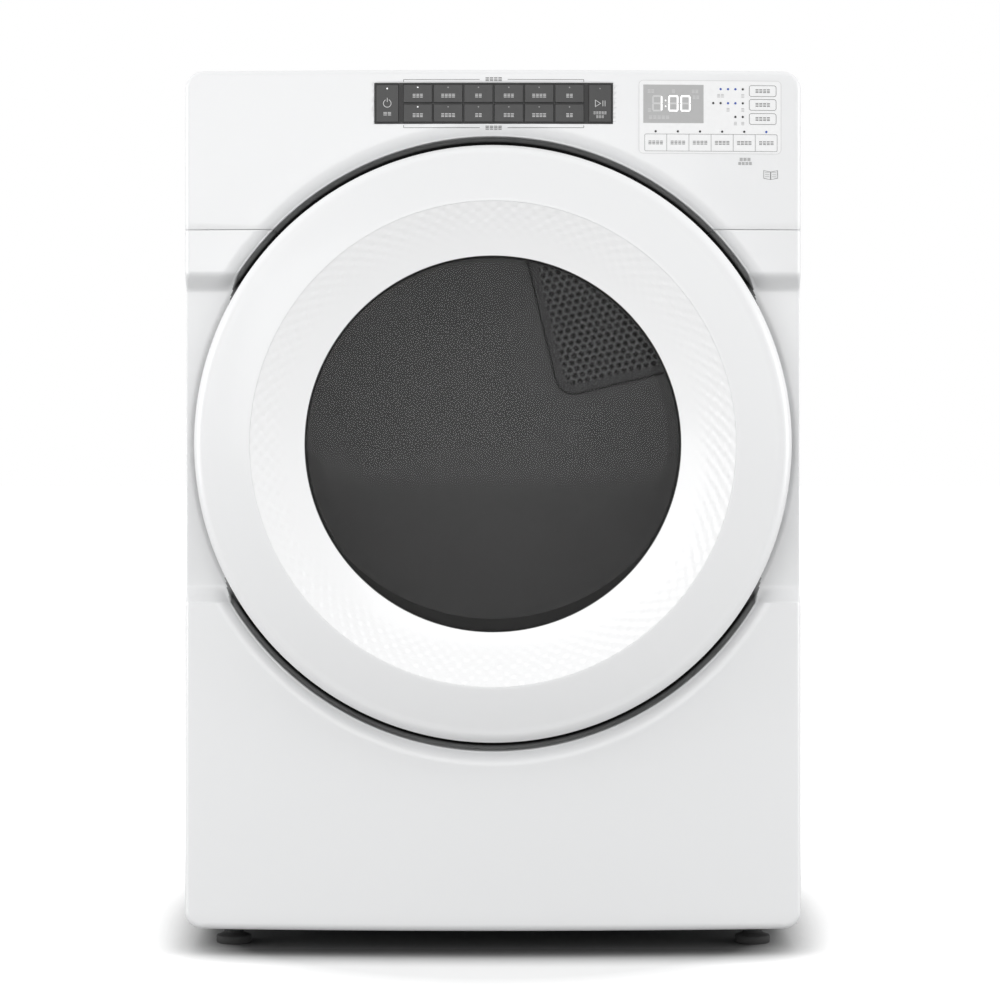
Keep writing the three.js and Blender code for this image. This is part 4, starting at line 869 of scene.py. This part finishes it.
def build_grille():
    """A plate of hexagonal cells, each with a round hole; every cell edge has its middle point too."""
    low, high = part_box("inlet_grille")
    margin = 3 * MM
    cell = HOLE_PITCH / math.sqrt(3)
    levels = ((0.0, low.y), (HOLE_RADIUS + 0.4 * MM, low.y), (HOLE_RADIUS, low.y + 0.4 * MM),
              (HOLE_RADIUS, high.y), (0.0, high.y))
    points, faces = [], []
    reach = math.ceil(GRILLE_RADIUS / HOLE_PITCH) + 2
    for row in range(-reach, reach):
        for column in range(-2 * reach, 2 * reach):
            u = HOLE_PITCH * (column + 0.5 * (row % 2))
            v = HOLE_PITCH * math.sqrt(3) / 2 * row
            x = u * math.cos(GRILLE_TILT) - v * math.sin(GRILLE_TILT)
            z = u * math.sin(GRILLE_TILT) + v * math.cos(GRILLE_TILT)
            if grille_depth(x, z) < margin:
                continue
            base = len(points)
            for radius, y in levels:
                for k in range(12):
                    edge = cell if k % 2 == 0 else HOLE_PITCH / 2
                    turn = GRILLE_TILT + math.radians(30 + 30 * k)
                    out = radius or edge
                    points.append((x + out * math.cos(turn), y, DOOR_Z + z + out * math.sin(turn)))
            faces += grid_faces(len(levels), 12, close_columns=True, offset=base)
    piece = make_piece("inlet_grille_plate", points, faces, "cabinet", "drum_steel", ["inlet_grille"],
                       material=GRILLE_WALL, smooth=False)
    close_rim(piece, low.y, high.y)


def close_rim(piece, front_y, back_y):
    """Joins the open front and back edges of a plate by a wall along Y."""
    bm = bmesh.new()
    bm.from_mesh(piece.data)
    rear = {(round(v.co.x, 5), round(v.co.z, 5)): v for v in bm.verts if abs(v.co.y - back_y) < 1e-6}
    open_edges = [e for e in bm.edges if e.is_boundary and all(abs(v.co.y - front_y) < 1e-6 for v in e.verts)]
    for edge in open_edges:
        a, b = edge.verts
        twins = [rear.get((round(v.co.x, 5), round(v.co.z, 5))) for v in (b, a)]
        if None not in twins:
            bm.faces.new((a, b, *twins))
    bmesh.ops.recalc_face_normals(bm, faces=bm.faces)
    bm.to_mesh(piece.data)
    bm.free()


def offset_outline(distance, steps=256):
    """The grille's outline moved inwards by a distance, found by marching out from its middle."""
    middle = (172 * MM, 152 * MM)
    outline = []
    for i in range(steps):
        turn = 2 * math.pi * i / steps
        low, high = 0.0, 0.3
        for _ in range(24):
            reach = (low + high) / 2
            inside = grille_depth(middle[0] + reach * math.cos(turn), middle[1] + reach * math.sin(turn)) > distance
            low, high = (reach, high) if inside else (low, reach)
        outline.append((middle[0] + low * math.cos(turn), middle[1] + low * math.sin(turn)))
    return outline


def build_grille_border():
    """The pressed rim around the field of holes, and outside it a raised black ring that is painted shade standing
    in for a groove.
    """
    low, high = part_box("inlet_grille")
    rim = ((-5.5, high.y), (-5.5, low.y - 0.8 * MM), (-4.5, low.y - 1.8 * MM), (-3.2, low.y - 2.2 * MM),
           (-1.6, low.y - 1.8 * MM), (0.5, low.y - 0.6 * MM), (4, low.y), (4, high.y))
    # Painted shade: a black ring where the groove outside the rim lies in shade.
    groove_shade = ((-9, high.y), (-9, low.y - 0.8 * MM), (-8.4, low.y - 1.2 * MM), (-6.4, low.y - 1.2 * MM),
            (-5.8, low.y - 0.8 * MM), (-5.8, high.y))
    for name, rings, material in (
            ("inlet_grille_rim", rim, GRILLE_RIM), ("inlet_grille_groove_shade", groove_shade, MATERIALS["black_plastic"])):
        points = []
        for distance, y in rings:
            points += [(x, y, DOOR_Z + z) for x, z in offset_outline(distance * MM)]
        faces = grid_faces(len(rings), len(points) // len(rings), close_rows=True, close_columns=True)
        piece = make_piece(name, points, faces, "cabinet", "drum_steel", material=material)
        crease_by_angle(piece, 50)

# ---------------------------------------------------------------- printed marks and controls


def rounded_rectangle(x, z, width, height, radius, steps=5):
    points = []
    for i, (side_x, side_z) in enumerate(((1, 1), (-1, 1), (-1, -1), (1, -1))):
        centre_x = x + side_x * (width / 2 - radius)
        centre_z = z + side_z * (height / 2 - radius)
        points += arc(centre_x, centre_z, radius, 90 * i, 90 * i + 90, steps)
    return points


def circle(x, z, radius, steps=20):
    return arc(x, z, radius, 0, 360 * (1 - 1 / steps), steps - 1)


BOW_STEP = 8 * MM


def evenly_split(outer, inner):
    """Adds points to two matching outlines, so that long sides follow the bow."""
    split_outer, split_inner = [], []
    for i in range(len(outer)):
        following = (i + 1) % len(outer)
        steps = max(1, math.ceil(math.dist(outer[i], outer[following]) / BOW_STEP))
        for outline, split in ((outer, split_outer), (inner, split_inner)):
            start, end = outline[i], outline[following]
            for k in range(steps):
                split.append(tuple(a + (b - a) * k / steps for a, b in zip(start, end)))
    return split_outer, split_inner


class Marks:
    """Thin closed plates that follow the bow of the front, gathered into one piece."""

    def __init__(self, proud, thickness=0.25 * MM):
        self.proud = proud
        self.thickness = thickness
        self.points = []
        self.faces = []

    def depth(self, x, z):
        return front_y(x, z) - self.proud

    def strip(self, columns):
        """A closed plate over columns of (x, low z, high z)."""
        base = len(self.points)
        for x, low, high in columns:
            self.points += [(x, self.depth(x, z) + back, z)
                            for z, back in ((low, 0), (high, 0), (high, self.thickness), (low, self.thickness))]
        last = base + 4 * (len(columns) - 1)
        self.faces += grid_faces(len(columns), 4, close_columns=True, offset=base)
        self.faces += [tuple(base + k for k in range(4)), tuple(last + k for k in (3, 2, 1, 0))]
        return self

    def add(self, outline):
        base = len(self.points)
        count = len(outline)
        for depth in (0.0, self.thickness):
            self.points += [(x, self.depth(x, z) + depth, z) for x, z in outline]
        self.faces += grid_faces(2, count, close_columns=True, offset=base)
        self.faces.append(tuple(base + i for i in range(count)))
        self.faces.append(tuple(base + count + i for i in reversed(range(count))))
        return self

    def ring(self, outer, inner):
        outer, inner = evenly_split(outer, inner)
        base = len(self.points)
        count = len(outer)
        for outline, depth in ((outer, 0.0), (inner, 0.0), (inner, self.thickness), (outer, self.thickness)):
            self.points += [(x, self.depth(x, z) + depth, z) for x, z in outline]
        self.faces += grid_faces(4, count, close_rows=True, close_columns=True, offset=base)
        return self

    def frame(self, x, z, width, height, radius, line):
        inner = rounded_rectangle(x, z, width - 2 * line, height - 2 * line, max(0.1 * MM, radius - line))
        return self.ring(rounded_rectangle(x, z, width, height, radius), inner)

    def bar(self, x, z, width, height):
        steps = max(1, round(width / BOW_STEP))
        places = [x + width * (i / steps - 0.5) for i in range(steps + 1)]
        return self.strip([(place, z - height / 2, z + height / 2) for place in places])

    def caption(self, x, z, width, height, letters):
        """A row of small blocks where the real machine has a word."""
        pitch = width / letters
        stroke = 0.2 * height
        for i in range(letters):
            middle = x + pitch * (i - (letters - 1) / 2)
            for level in (-0.42, 0.0, 0.42):
                self.bar(middle, z + level * height, 0.78 * pitch, stroke)
        return self

    def make(self, name, body, slot_name, material):
        return make_piece(
            name, self.points, self.faces, body, slot_name, material=material, smooth=False, merge=False,
        )


KEYS = sorted(name for name in frame["nodes"] if name.startswith("key_") and name != "key_bezel")
KEY_PROUD = 0.8 * MM
STRIP_MIDDLE_Z = (STRIP_LOW.z + STRIP_HIGH.z) / 2


def key_middle(name):
    low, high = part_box(name)
    return (low.x + high.x) / 2, (low.z + high.z) / 2, high.x - low.x, high.z - low.z


def add_power_icon(marks, x, z):
    radius, line = 4.6 * MM, 0.7 * MM
    sweep = arc(x, z, radius, 115, 425, 22)
    inner = arc(x, z, radius - line, 115, 425, 22)
    marks.add(sweep + inner[::-1])
    marks.bar(x, z + radius - 0.8 * MM, line, 4.4 * MM)


def add_start_icon(marks, x, z):
    height, line = 8.4 * MM, 0.7 * MM
    left, tip = x - 5.5 * MM, x + 1.2 * MM
    outer = [(left, z - height / 2), (tip, z), (left, z + height / 2)]
    inner = [(left + line, z - height / 2 + 1.5 * line), (tip - 1.6 * line, z), (left + line, z + height / 2 - 1.5 * line)]
    marks.ring(outer, inner)
    marks.bar(x + 3.2 * MM, z, line, height * 0.75)
    marks.bar(x + 5.6 * MM, z, line, height * 0.75)


def build_keys():
    for name in KEYS:
        node = frame["nodes"][name]
        node.data.materials.clear()
        node.data.materials.append(MATERIALS["dark_key"])
        weld_and_round(node, 0.45 * MM, 3)
        x, z, width, height = key_middle(name)
        marks = Marks(KEY_PROUD + 0.08 * MM, 0.2 * MM)
        lamp = Marks(KEY_PROUD + 0.1 * MM, 0.2 * MM)
        if name == "key_power":
            add_power_icon(marks, x, z)
            marks.caption(x, z - 11.5 * MM, 9.5 * MM, 3.4 * MM, 2)
            lamp.add(circle(x, z + 16.4 * MM, 0.9 * MM, 12))
        elif name == "key_start_pause":
            add_start_icon(marks, x, z)
            marks.caption(x, z - 10.5 * MM, 15 * MM, 2.8 * MM, 5)
            marks.caption(x, z - 14.8 * MM, 9 * MM, 2.6 * MM, 3)
            lamp.add(circle(x, z + 16.4 * MM, 0.7 * MM, 12))
        else:
            letters = 2 + int(name.rsplit("_", 1)[1]) % 3
            marks.caption(x, z - 2.4 * MM, letters * 4.0 * MM, 3.8 * MM, letters)
            lamp.add(circle(x, z + 6.8 * MM, 0.8 * MM, 12))
        lit = name in ("key_power", "key_program_1", "key_program_7")
        marks.make(name + "_marks", name, "dark_key", PALE_MARK)
        lamp.make(name + "_lamp", name, "dark_key", WHITE_MARK if lit else DIM_LAMP)


def add_bracket(marks, z, tick_down, left, right, gap_left, gap_right):
    """Two lines with an open middle for a caption, and short ticks at their outer ends."""
    line, tick = 0.45 * MM, 2.6 * MM
    side = -1 if tick_down else 1
    for x0, x1, tick_x in ((left, gap_left, left), (gap_right, right, right)):
        marks.bar((x0 + x1) / 2, z, x1 - x0, line)
        marks.bar(tick_x, z + side * tick / 2, line, tick)


def build_fascia_marks():
    marks = Marks(0.25 * MM, 0.4 * MM)
    left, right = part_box("key_program_1")[0].x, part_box("key_program_6")[1].x
    middle = (left + right) / 2
    gap = 15.5 * MM
    above = STRIP_HIGH.z + 3.9 * MM
    below = STRIP_LOW.z - 4.4 * MM
    add_bracket(marks, above, True, left, right, middle - gap, middle + gap)
    add_bracket(marks, below, False, left, right, middle - gap, middle + gap)
    marks.caption(middle, above + 0.3 * MM, 19 * MM, 3.8 * MM, 4)
    marks.caption(middle, below, 19 * MM, 3.8 * MM, 4)
    marks.make("fascia_print", "cabinet", "white_plastic", INK)


LAMP_RADIUS = 1.3 * MM
DIGIT_SEGMENTS = {"1": "bc", "0": "abcdef"}


def add_digit(marks, ghost, x, z, width, height, digit):
    """A seven-segment digit; the unlit segments go to the ghost marks."""
    line = 0.17 * width
    w, h = width / 2 - line / 2, height / 2 - line / 2
    places = {
        "a": (x, z + h, width - line, line), "d": (x, z - h, width - line, line), "g": (x, z, width - line, line),
        "b": (x + w, z + h / 2, line, h - 0.3 * line), "c": (x + w, z - h / 2, line, h - 0.3 * line),
        "e": (x - w, z - h / 2, line, h - 0.3 * line), "f": (x - w, z + h / 2, line, h - 0.3 * line),
    }
    for segment, place in places.items():
        lit = segment in DIGIT_SEGMENTS[digit]
        (marks if lit else ghost).bar(*place)


def build_display():
    """The printed overlay with its time window, lamps and outlined keys."""
    low, high = OVERLAY_LOW, OVERLAY_HIGH
    width, height = high.x - low.x, high.z - low.z
    x, z = (low.x + high.x) / 2, (low.z + high.z) / 2

    def across(share):
        return low.x + width * share

    def down(share):
        return high.z - height * share

    plate = Marks(0.12 * MM, 0.9 * MM)
    corner = 5 * MM
    inner_width = width - 2 * corner
    ends = [corner * (1 - math.cos(math.radians(turn))) for turn in range(10, 91, 10)]
    edges = ends + [corner + inner_width * i / 20 for i in range(1, 20)] + [width - end for end in reversed(ends)]
    columns = []
    for edge in edges:
        from_end = min(edge, width - edge, corner)
        inset = corner - math.sqrt(corner ** 2 - (corner - from_end) ** 2)
        columns.append((low.x + edge, low.z + inset, high.z - inset))
    plate.strip(columns)
    plate_piece = plate.make("display_overlay_sheet", "cabinet", "display_face", None)
    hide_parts("display_overlay")
    ink = Marks(0.2 * MM)
    edge_line = Marks(0.2 * MM)
    edge_line.frame(x, z, width, height, 5 * MM, 0.6 * MM)
    edge_line.make("display_edge_line", "cabinet", "display_face", PALE_INK)

    lcd_x, lcd_z = across(0.243), down(0.323)
    lcd_width, lcd_height = 67 * MM, 42.5 * MM
    lcd = Marks(0.2 * MM)
    lcd.bar(lcd_x, lcd_z, lcd_width, lcd_height)
    lcd.make("display_window", "cabinet", "display_face", LCD_GREY)

    lit, ghost = Marks(0.3 * MM, 0.15 * MM), Marks(0.26 * MM, 0.15 * MM)
    digit_height, digit_width = 18 * MM, 11.5 * MM
    digit_z = lcd_z + 0.5 * MM
    for share, digit in ((0.13, "1"), (0.242, "0"), (0.327, "0")):
        add_digit(lit, ghost, across(share), digit_z, digit_width, digit_height, digit)
    for lift in (-3.2, 3.2):
        lit.add(circle(across(0.188), digit_z + lift * MM, 0.9 * MM, 12))
    window_words = ((-25, 14, 8, 2), (0, 14, 4.5, 1), (24, 14, 8, 2), (25, 7.4, 8, 2), (-26.7, -7, 4.5, 1), (-16, -15, 23.5, 5))
    for word_x, word_z, word_width, letters in window_words:
        ghost.caption(lcd_x + word_x * MM, lcd_z + word_z * MM, word_width * MM, 3.4 * MM, letters)
    lit.make("display_digits", "cabinet", "display_face", LCD_WHITE)
    ghost.make("display_digits_unlit", "cabinet", "display_face", LCD_GHOST)

    blue, dark = Marks(0.28 * MM, 0.2 * MM), Marks(0.28 * MM, 0.2 * MM)
    pitch = 8.25 * MM
    faint = Marks(0.2 * MM)
    lamp_rows = ((0.118, 4, (0, 1, 2), 0, 2), (0.309, 5, (2, 3), 2, 1), (0.495, 2, (), 0, 1))
    for level, count, lit_lamps, captioned, letters in lamp_rows:
        for i in range(count):
            lamp_x = across(0.729) - pitch * (count - 1 - i)
            (blue if i in lit_lamps else dark).add(circle(lamp_x, down(level), LAMP_RADIUS, 12))
        caption_x = across(0.729) - pitch * (count - 1 - captioned)
        faint.caption(caption_x, down(level + 0.09), 4.2 * MM * letters, 3.4 * MM, letters)
        faint.caption(across(0.729), down(level + 0.09), 4.2 * MM, 3.4 * MM, 1)
    key_columns = 6
    left, right, row_z = across(0.041), across(0.972), down(0.849)
    row_height = 19.2 * MM
    cell = (right - left) / key_columns
    for i in range(key_columns):
        middle = left + cell * (i + 0.5)
        (blue if i == key_columns - 1 else dark).add(circle(middle, row_z + 12.4 * MM, LAMP_RADIUS, 12))
        ink.caption(middle, row_z, 17 * MM, 3.8 * MM, 4)
        if i:
            ink.bar(left + cell * i, row_z, 0.4 * MM, row_height)
    ink.frame((left + right) / 2, row_z, right - left, row_height, 1.6 * MM, 0.4 * MM)
    for level in (0.141, 0.329, 0.521):
        ink.frame(across(0.869), down(level), 30.5 * MM, 12.6 * MM, 2.6 * MM, 0.5 * MM)
        ink.caption(across(0.869), down(level), 17 * MM, 3.8 * MM, 4)
    blue.make("display_lamps_lit", "cabinet", "display_face", BLUE_LAMP)
    dark.make("display_lamps_dark", "cabinet", "display_face", DARK_LAMP)
    ink.make("display_print", "cabinet", "display_face", INK)
    faint.make("display_faint_print", "cabinet", "display_face", LCD_GREY)

    below = Marks(0.2 * MM, 0.35 * MM)
    below.caption(across(0.745), low.z - 6 * MM, 13 * MM, 3.2 * MM, 3)
    below.caption(across(0.745), low.z - 10.5 * MM, 16 * MM, 2.8 * MM, 4)
    add_book_icon(below, across(0.925), low.z - 24 * MM)
    below.make("fascia_side_print", "cabinet", "white_plastic", LIGHT_INK)


def add_book_icon(marks, x, z):
    """An open book: two tilted pages and a spine."""
    half, height, rise, line = 8 * MM, 9 * MM, 1.6 * MM, 0.5 * MM
    for side in (-1, 1):
        page = [(x, z - height / 2), (x + side * half, z - height / 2 + rise),
                (x + side * half, z + height / 2 + rise), (x, z + height / 2)]
        inner = [(x + side * line, z - height / 2 + line), (x + side * (half - line), z - height / 2 + rise + line),
                 (x + side * (half - line), z + height / 2 + rise - line), (x + side * line, z + height / 2 - line)]
        if side < 0:
            page, inner = page[::-1], inner[::-1]
        marks.ring(page, inner)
        for level in (-0.2, 0.05, 0.3):
            marks.bar(x + side * half / 2, z + height * level + rise / 2, half * 0.6, 0.35 * MM)


# ---------------------------------------------------------------- cabinet shells, feet and rear


def build_top():
    low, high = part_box("top_panel")
    radius = TOP_CORNER
    half = high.x
    section = [(half, low.z)] + arc(half - radius, high.z - radius, radius, 0, 90, 12)
    for i in range(1, 8):
        section.append(((half - radius) * (1 - i / 4), high.z))
    section += arc(-half + radius, high.z - radius, radius, 90, 180, 12) + [(-half, low.z)]
    edge = 4 * MM
    rows = [(low.y + 4 * MM, 1 * MM), (low.y, 1 * MM), (low.y, 0.3 * MM), (low.y + 0.4 * MM, 0.0)]
    rows += [(low.y + (high.y - low.y - edge) * i / 6, 0.0) for i in range(1, 7)]
    rows += [(high.y - edge + edge * math.sin(t), edge * (1 - math.cos(t)))
             for t in (math.radians(15 * k) for k in range(1, 7))]
    rows += [(high.y, 14 * MM)]
    points = []
    centre_z = high.z - radius
    for y, inset in rows:
        for x, z in section:
            out = Vector((x, 0)) if z <= centre_z else Vector((x, z - centre_z))
            if z > centre_z and abs(x) < half - radius:
                out = Vector((0, 1))
            elif z > centre_z:
                out = Vector((x - math.copysign(half - radius, x), z - centre_z))
            out.normalize()
            points.append((x - out[0] * inset, y, z - out[1] * inset))
    piece = make_piece("top_panel_shell", points, grid_faces(len(rows), len(section)), "cabinet",
                       "white_paint", ["top_panel"])
    turn_towards(piece, Vector((0, 0, 1)))
    crease_by_angle(piece, 40)
    thicken(piece, 0.8 * MM)
    build_top_flange(low, high, radius)


def build_top_flange(low, high, corner):
    """The folded strip that closes the top panel's rear edge down to the rear panel."""
    half = high.x - corner
    front, back = high.y - 2.2 * MM, high.y - 1.2 * MM
    columns = 24
    points = []
    for i in range(columns + 1):
        x = half * (2 * i / columns - 1)
        points += [(x, y, z) for y, z in (
            (front, high.z - 2 * MM), (back, high.z - 2 * MM), (back, low.z + 0.8 * MM),
            (back - 0.3 * MM, low.z), (front + 0.3 * MM, low.z), (front, low.z + 0.8 * MM),
        )]
    faces = grid_faces(columns + 1, 6, close_columns=True)
    faces += [tuple(range(6)), tuple(6 * columns + k for k in reversed(range(6)))]
    make_piece("top_panel_rear_flange", points, faces, "cabinet", "white_paint", smooth=False)


def screw_head(points, faces, centre, radius=4.2 * MM, height=1.8 * MM):
    """A round head with a hexagonal recess, facing +Y."""
    x, y, z = centre
    rings = ((radius, 0.0, 24), (radius, 0.5 * height, 24), (0.75 * radius, height, 24))
    base = len(points)
    for ring_radius, rise, count in rings:
        for k in range(count):
            turn = 2 * math.pi * k / count
            points.append((x + ring_radius * math.cos(turn), y + rise, z + ring_radius * math.sin(turn)))
    for depth in (height, 0.4 * height):
        for k in range(24):
            turn = 2 * math.pi * k / 24
            reach = 0.42 * radius / math.cos((turn + math.pi / 6) % (math.pi / 3) - math.pi / 6)
            points.append((x + reach * math.cos(turn), y + depth, z + reach * math.sin(turn)))
    faces += grid_faces(5, 24, close_columns=True, offset=base)
    faces.append(tuple(base + k for k in range(24)))
    faces.append(tuple(base + 96 + k for k in reversed(range(24))))


def build_rear_screws():
    low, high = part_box("rear_panel")
    places = []
    for i in range(7):
        z = low.z + 25 * MM + (high.z - low.z - 45 * MM) * i / 6
        places += [(side * (HALF_WIDTH - 9 * MM), high.y, z) for side in (-1, 1)]
    for i in range(5):
        x = (HALF_WIDTH - 70 * MM) * (i / 2 - 1)
        places += [(x, high.y, high.z - 8 * MM), (x, high.y, low.z + 10 * MM)]
    points, faces = [], []
    for place in places:
        screw_head(points, faces, place)
    piece = make_piece("rear_screws", points, faces, "cabinet", "galvanised", smooth=False)
    crease_by_angle(piece, 40)


def build_feet():
    names = [name for name in frame["nodes"] if name.startswith("foot_")]
    for name in names:
        low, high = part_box(name)
        x, y = (low.x + high.x) / 2, (low.y + high.y) / 2
        pad = 20 * MM
        profile = [(0, 0), (pad - 2 * MM, 0), (pad - 0.6 * MM, 0.6 * MM), (pad, 2 * MM), (pad, 7.5 * MM)]
        profile += [(pad - 0.5 * MM, 8.7 * MM), (pad - 2 * MM, 9.3 * MM), (12 * MM, 11.7 * MM), (11 * MM, 12.4 * MM)]
        profile += [(11 * MM, 28.7 * MM), (10 * MM, 29.6 * MM), (5 * MM, 29.6 * MM)]
        thread = 1.5 * MM
        level = 31 * MM
        while level < high.z - 1.5 * MM:
            profile += [(5 * MM, level), (4.3 * MM, level + thread / 2)]
            level += thread
        profile += [(4.6 * MM, high.z - 0.4 * MM), (4.2 * MM, high.z), (0, high.z)]
        segments = 48
        points = []
        for i in range(segments):
            angle = 2 * math.pi * i / segments
            points += [(x + r * math.cos(angle), y + r * math.sin(angle), z) for r, z in profile]
        faces = grid_faces(segments, len(profile), close_rows=True)
        piece = make_piece(name + "_levelling_leg", points, faces, name, "rubber", [name])
        crease_by_angle(piece, 40)


def build_exhaust():
    """The round outlet's crimped collar, in front of the carried-over duct's plain end."""
    low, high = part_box("exhaust_duct")
    radius = 51 * MM
    centre_z = 115 * MM
    ribs = 30
    points = []
    rows = 18
    segments = ribs * 8
    start_y = high.y - 34 * MM
    for i in range(rows + 1):
        y = start_y + (high.y - start_y) * i / rows
        crimp = 1.1 * MM * smoothstep(i / rows, 0.35, 0.6)
        bead = 1.6 * MM * math.exp(-((i - 3) / 1.1) ** 2)
        for k in range(segments):
            turn = 2 * math.pi * k / segments
            reach = radius + 0.4 * MM + bead - crimp * (0.5 + 0.5 * math.cos(ribs * turn))
            points.append((reach * math.cos(turn), y, centre_z + reach * math.sin(turn)))
    piece = make_piece("exhaust_collar", points, grid_faces(rows + 1, segments, close_columns=True),
                       "cabinet", "duct_metal")
    solid = piece.modifiers.new("sheet", "SOLIDIFY")
    solid.thickness = 0.4 * MM
    solid.offset = 0.0
    crease_by_angle(piece, 60)


def dress_cad_nodes():
    """Gives every carried-over CAD node its material and soft edges."""
    slots = {row["node"]: row["material_slot"] for row in frame["record"]["subparts"]}
    # The heater housing's near-black look is painted shade behind the grille's holes.
    own_looks = {"rear_bulkhead": DRUM_BACK, "heater_housing": HOLE_SHADE_BLACK}
    rounded = {"left_side_panel": 1.0, "right_side_panel": 1.0, "rear_panel": 0.2, "key_bezel": 0.3}
    for name, node in frame["nodes"].items():
        if node.hide_render or name in KEYS:
            continue
        material = own_looks.get(name, MATERIALS[slots[name]])
        node.data.materials.clear()
        node.data.materials.append(material)
        weld_and_round(node, rounded.get(name, 0.4) * MM, 2)


# ---------------------------------------------------------------- floor, light and camera


FLOOR_BOUNCE = 0.44


def build_floor():
    """A pale floor that stays white far away, and throws less light back than it shows; near the machine its shown
    colour is darkened by ambient occlusion, a painted contact shadow.
    """
    look = Look("studio_floor", (0.9, 0.9, 0.9), 0.9).set(Emission_Color=(1, 1, 1, 1), Specular_IOR_Level=0.0)
    path = look.node("ShaderNodeLightPath")
    # Painted contact shadow: the colour the camera sees is darkened where the floor is occluded.
    painted_contact_shadow = look.node("ShaderNodeAmbientOcclusion", Distance=0.07)
    shown = look.node("ShaderNodeMapRange", To_Min=FLOOR_BOUNCE)
    look.link(path.outputs["Is Camera Ray"], shown.inputs["Value"])
    look.link(look.ranged(painted_contact_shadow.outputs["AO"], 0.0, 0.9), shown.inputs["To Max"])
    look.link(shown.outputs["Result"], look.shader.inputs["Base Color"])
    reach = look.node("ShaderNodeVectorMath")
    reach.operation = "LENGTH"
    look.link(look.place((1.4, 1, 1)), reach.inputs[0])
    far = look.node("ShaderNodeMapRange", From_Min=0.48, From_Max=0.8, To_Max=0.8)
    look.link(reach.outputs["Value"], far.inputs["Value"])
    lift = look.node("ShaderNodeMath")
    lift.operation = "MULTIPLY"
    look.link(far.outputs["Result"], lift.inputs[0])
    look.link(path.outputs["Is Camera Ray"], lift.inputs[1])
    look.link(lift.outputs["Value"], look.shader.inputs["Emission Strength"])
    half = 30.0
    points = [(-half, -half, 0), (half, -half, 0), (half, half, 0), (-half, half, 0)]
    mesh = bpy.data.meshes.new("studio_floor")
    mesh.from_pydata(points, [], [(0, 1, 2, 3)])
    floor = bpy.data.objects.new("studio_floor", mesh)
    mesh.materials.append(look.material)
    bpy.context.collection.objects.link(floor)


def add_area_light(name, place, target, size, energy, color=(1, 1, 1)):
    data = bpy.data.lights.new(name, "AREA")
    data.shape = "RECTANGLE"
    data.size, data.size_y = size
    data.energy = energy
    data.color = color
    light = bpy.data.objects.new(name, data)
    light.location = place
    light.rotation_euler = (Vector(target) - Vector(place)).to_track_quat("-Z", "Y").to_euler()
    bpy.context.collection.objects.link(light)
    return light


ROOM_LIGHT = 0.82


def build_lights():
    world = bpy.data.worlds.new("studio")
    world.use_nodes = True
    tree = world.node_tree
    background = tree.nodes["Background"]
    background.inputs["Color"].default_value = (1, 1, 1, 1)
    path = tree.nodes.new("ShaderNodeLightPath")
    level = tree.nodes.new("ShaderNodeMapRange")
    level.inputs["To Min"].default_value = ROOM_LIGHT
    tree.links.new(path.outputs["Is Camera Ray"], level.inputs["Value"])
    tree.links.new(level.outputs["Result"], background.inputs["Strength"])
    bpy.context.scene.world = world
    add_area_light("overhead_softbox", (0, -1.3, 4.0), (0, -1.3, 0), (7.0, 6.5), 18)
    add_area_light("front_softbox", (-0.8, -6, 1.6), (0, 0, 0.6), (4.5, 2.4), 72)
    for side, name in ((-1, "left_softbox"), (1, "right_softbox")):
        add_area_light(name, (side * 3.2, -1.0, 1.0), (0, -0.4, 0.55), (1.6, 2.0), 36)
    add_area_light("drum_lamp", (0, DRUM_LOW.y - 6 * MM, DOOR_Z), (0, DRUM_HIGH.y, DOOR_Z), (0.34, 0.34), 1.7)
    bpy.context.scene.view_settings.view_transform = "Standard"


def build_camera():
    """Level, in front of the door, at a distance where the whole front fills most of the picture."""
    data = bpy.data.cameras.new("camera")
    distance = 3.5
    view_width = 1.107
    middle = (7.8 * MM, 0.5073)
    height = 0.582
    data.sensor_width = 36
    data.lens = data.sensor_width * distance / view_width
    data.shift_y = (middle[1] - height) / view_width
    camera = bpy.data.objects.new("camera", data)
    camera.location = (middle[0], FRONT_Y - distance, height)
    camera.rotation_euler = (math.radians(90), 0, 0)
    bpy.context.collection.objects.link(camera)
    bpy.context.scene.camera = camera


# ---------------------------------------------------------------- the whole scene

build_camera()
build_front_panel()
build_console()
build_door_frame()
build_door_bezel()
build_panes()
build_pane_trim()
build_inner_panel()
build_gasket()
build_drum()
build_grille()
build_grille_border()
build_keys()
build_fascia_marks()
build_display()
build_top()
build_rear_screws()
build_feet()
build_exhaust()
dress_cad_nodes()
build_floor()
build_lights()
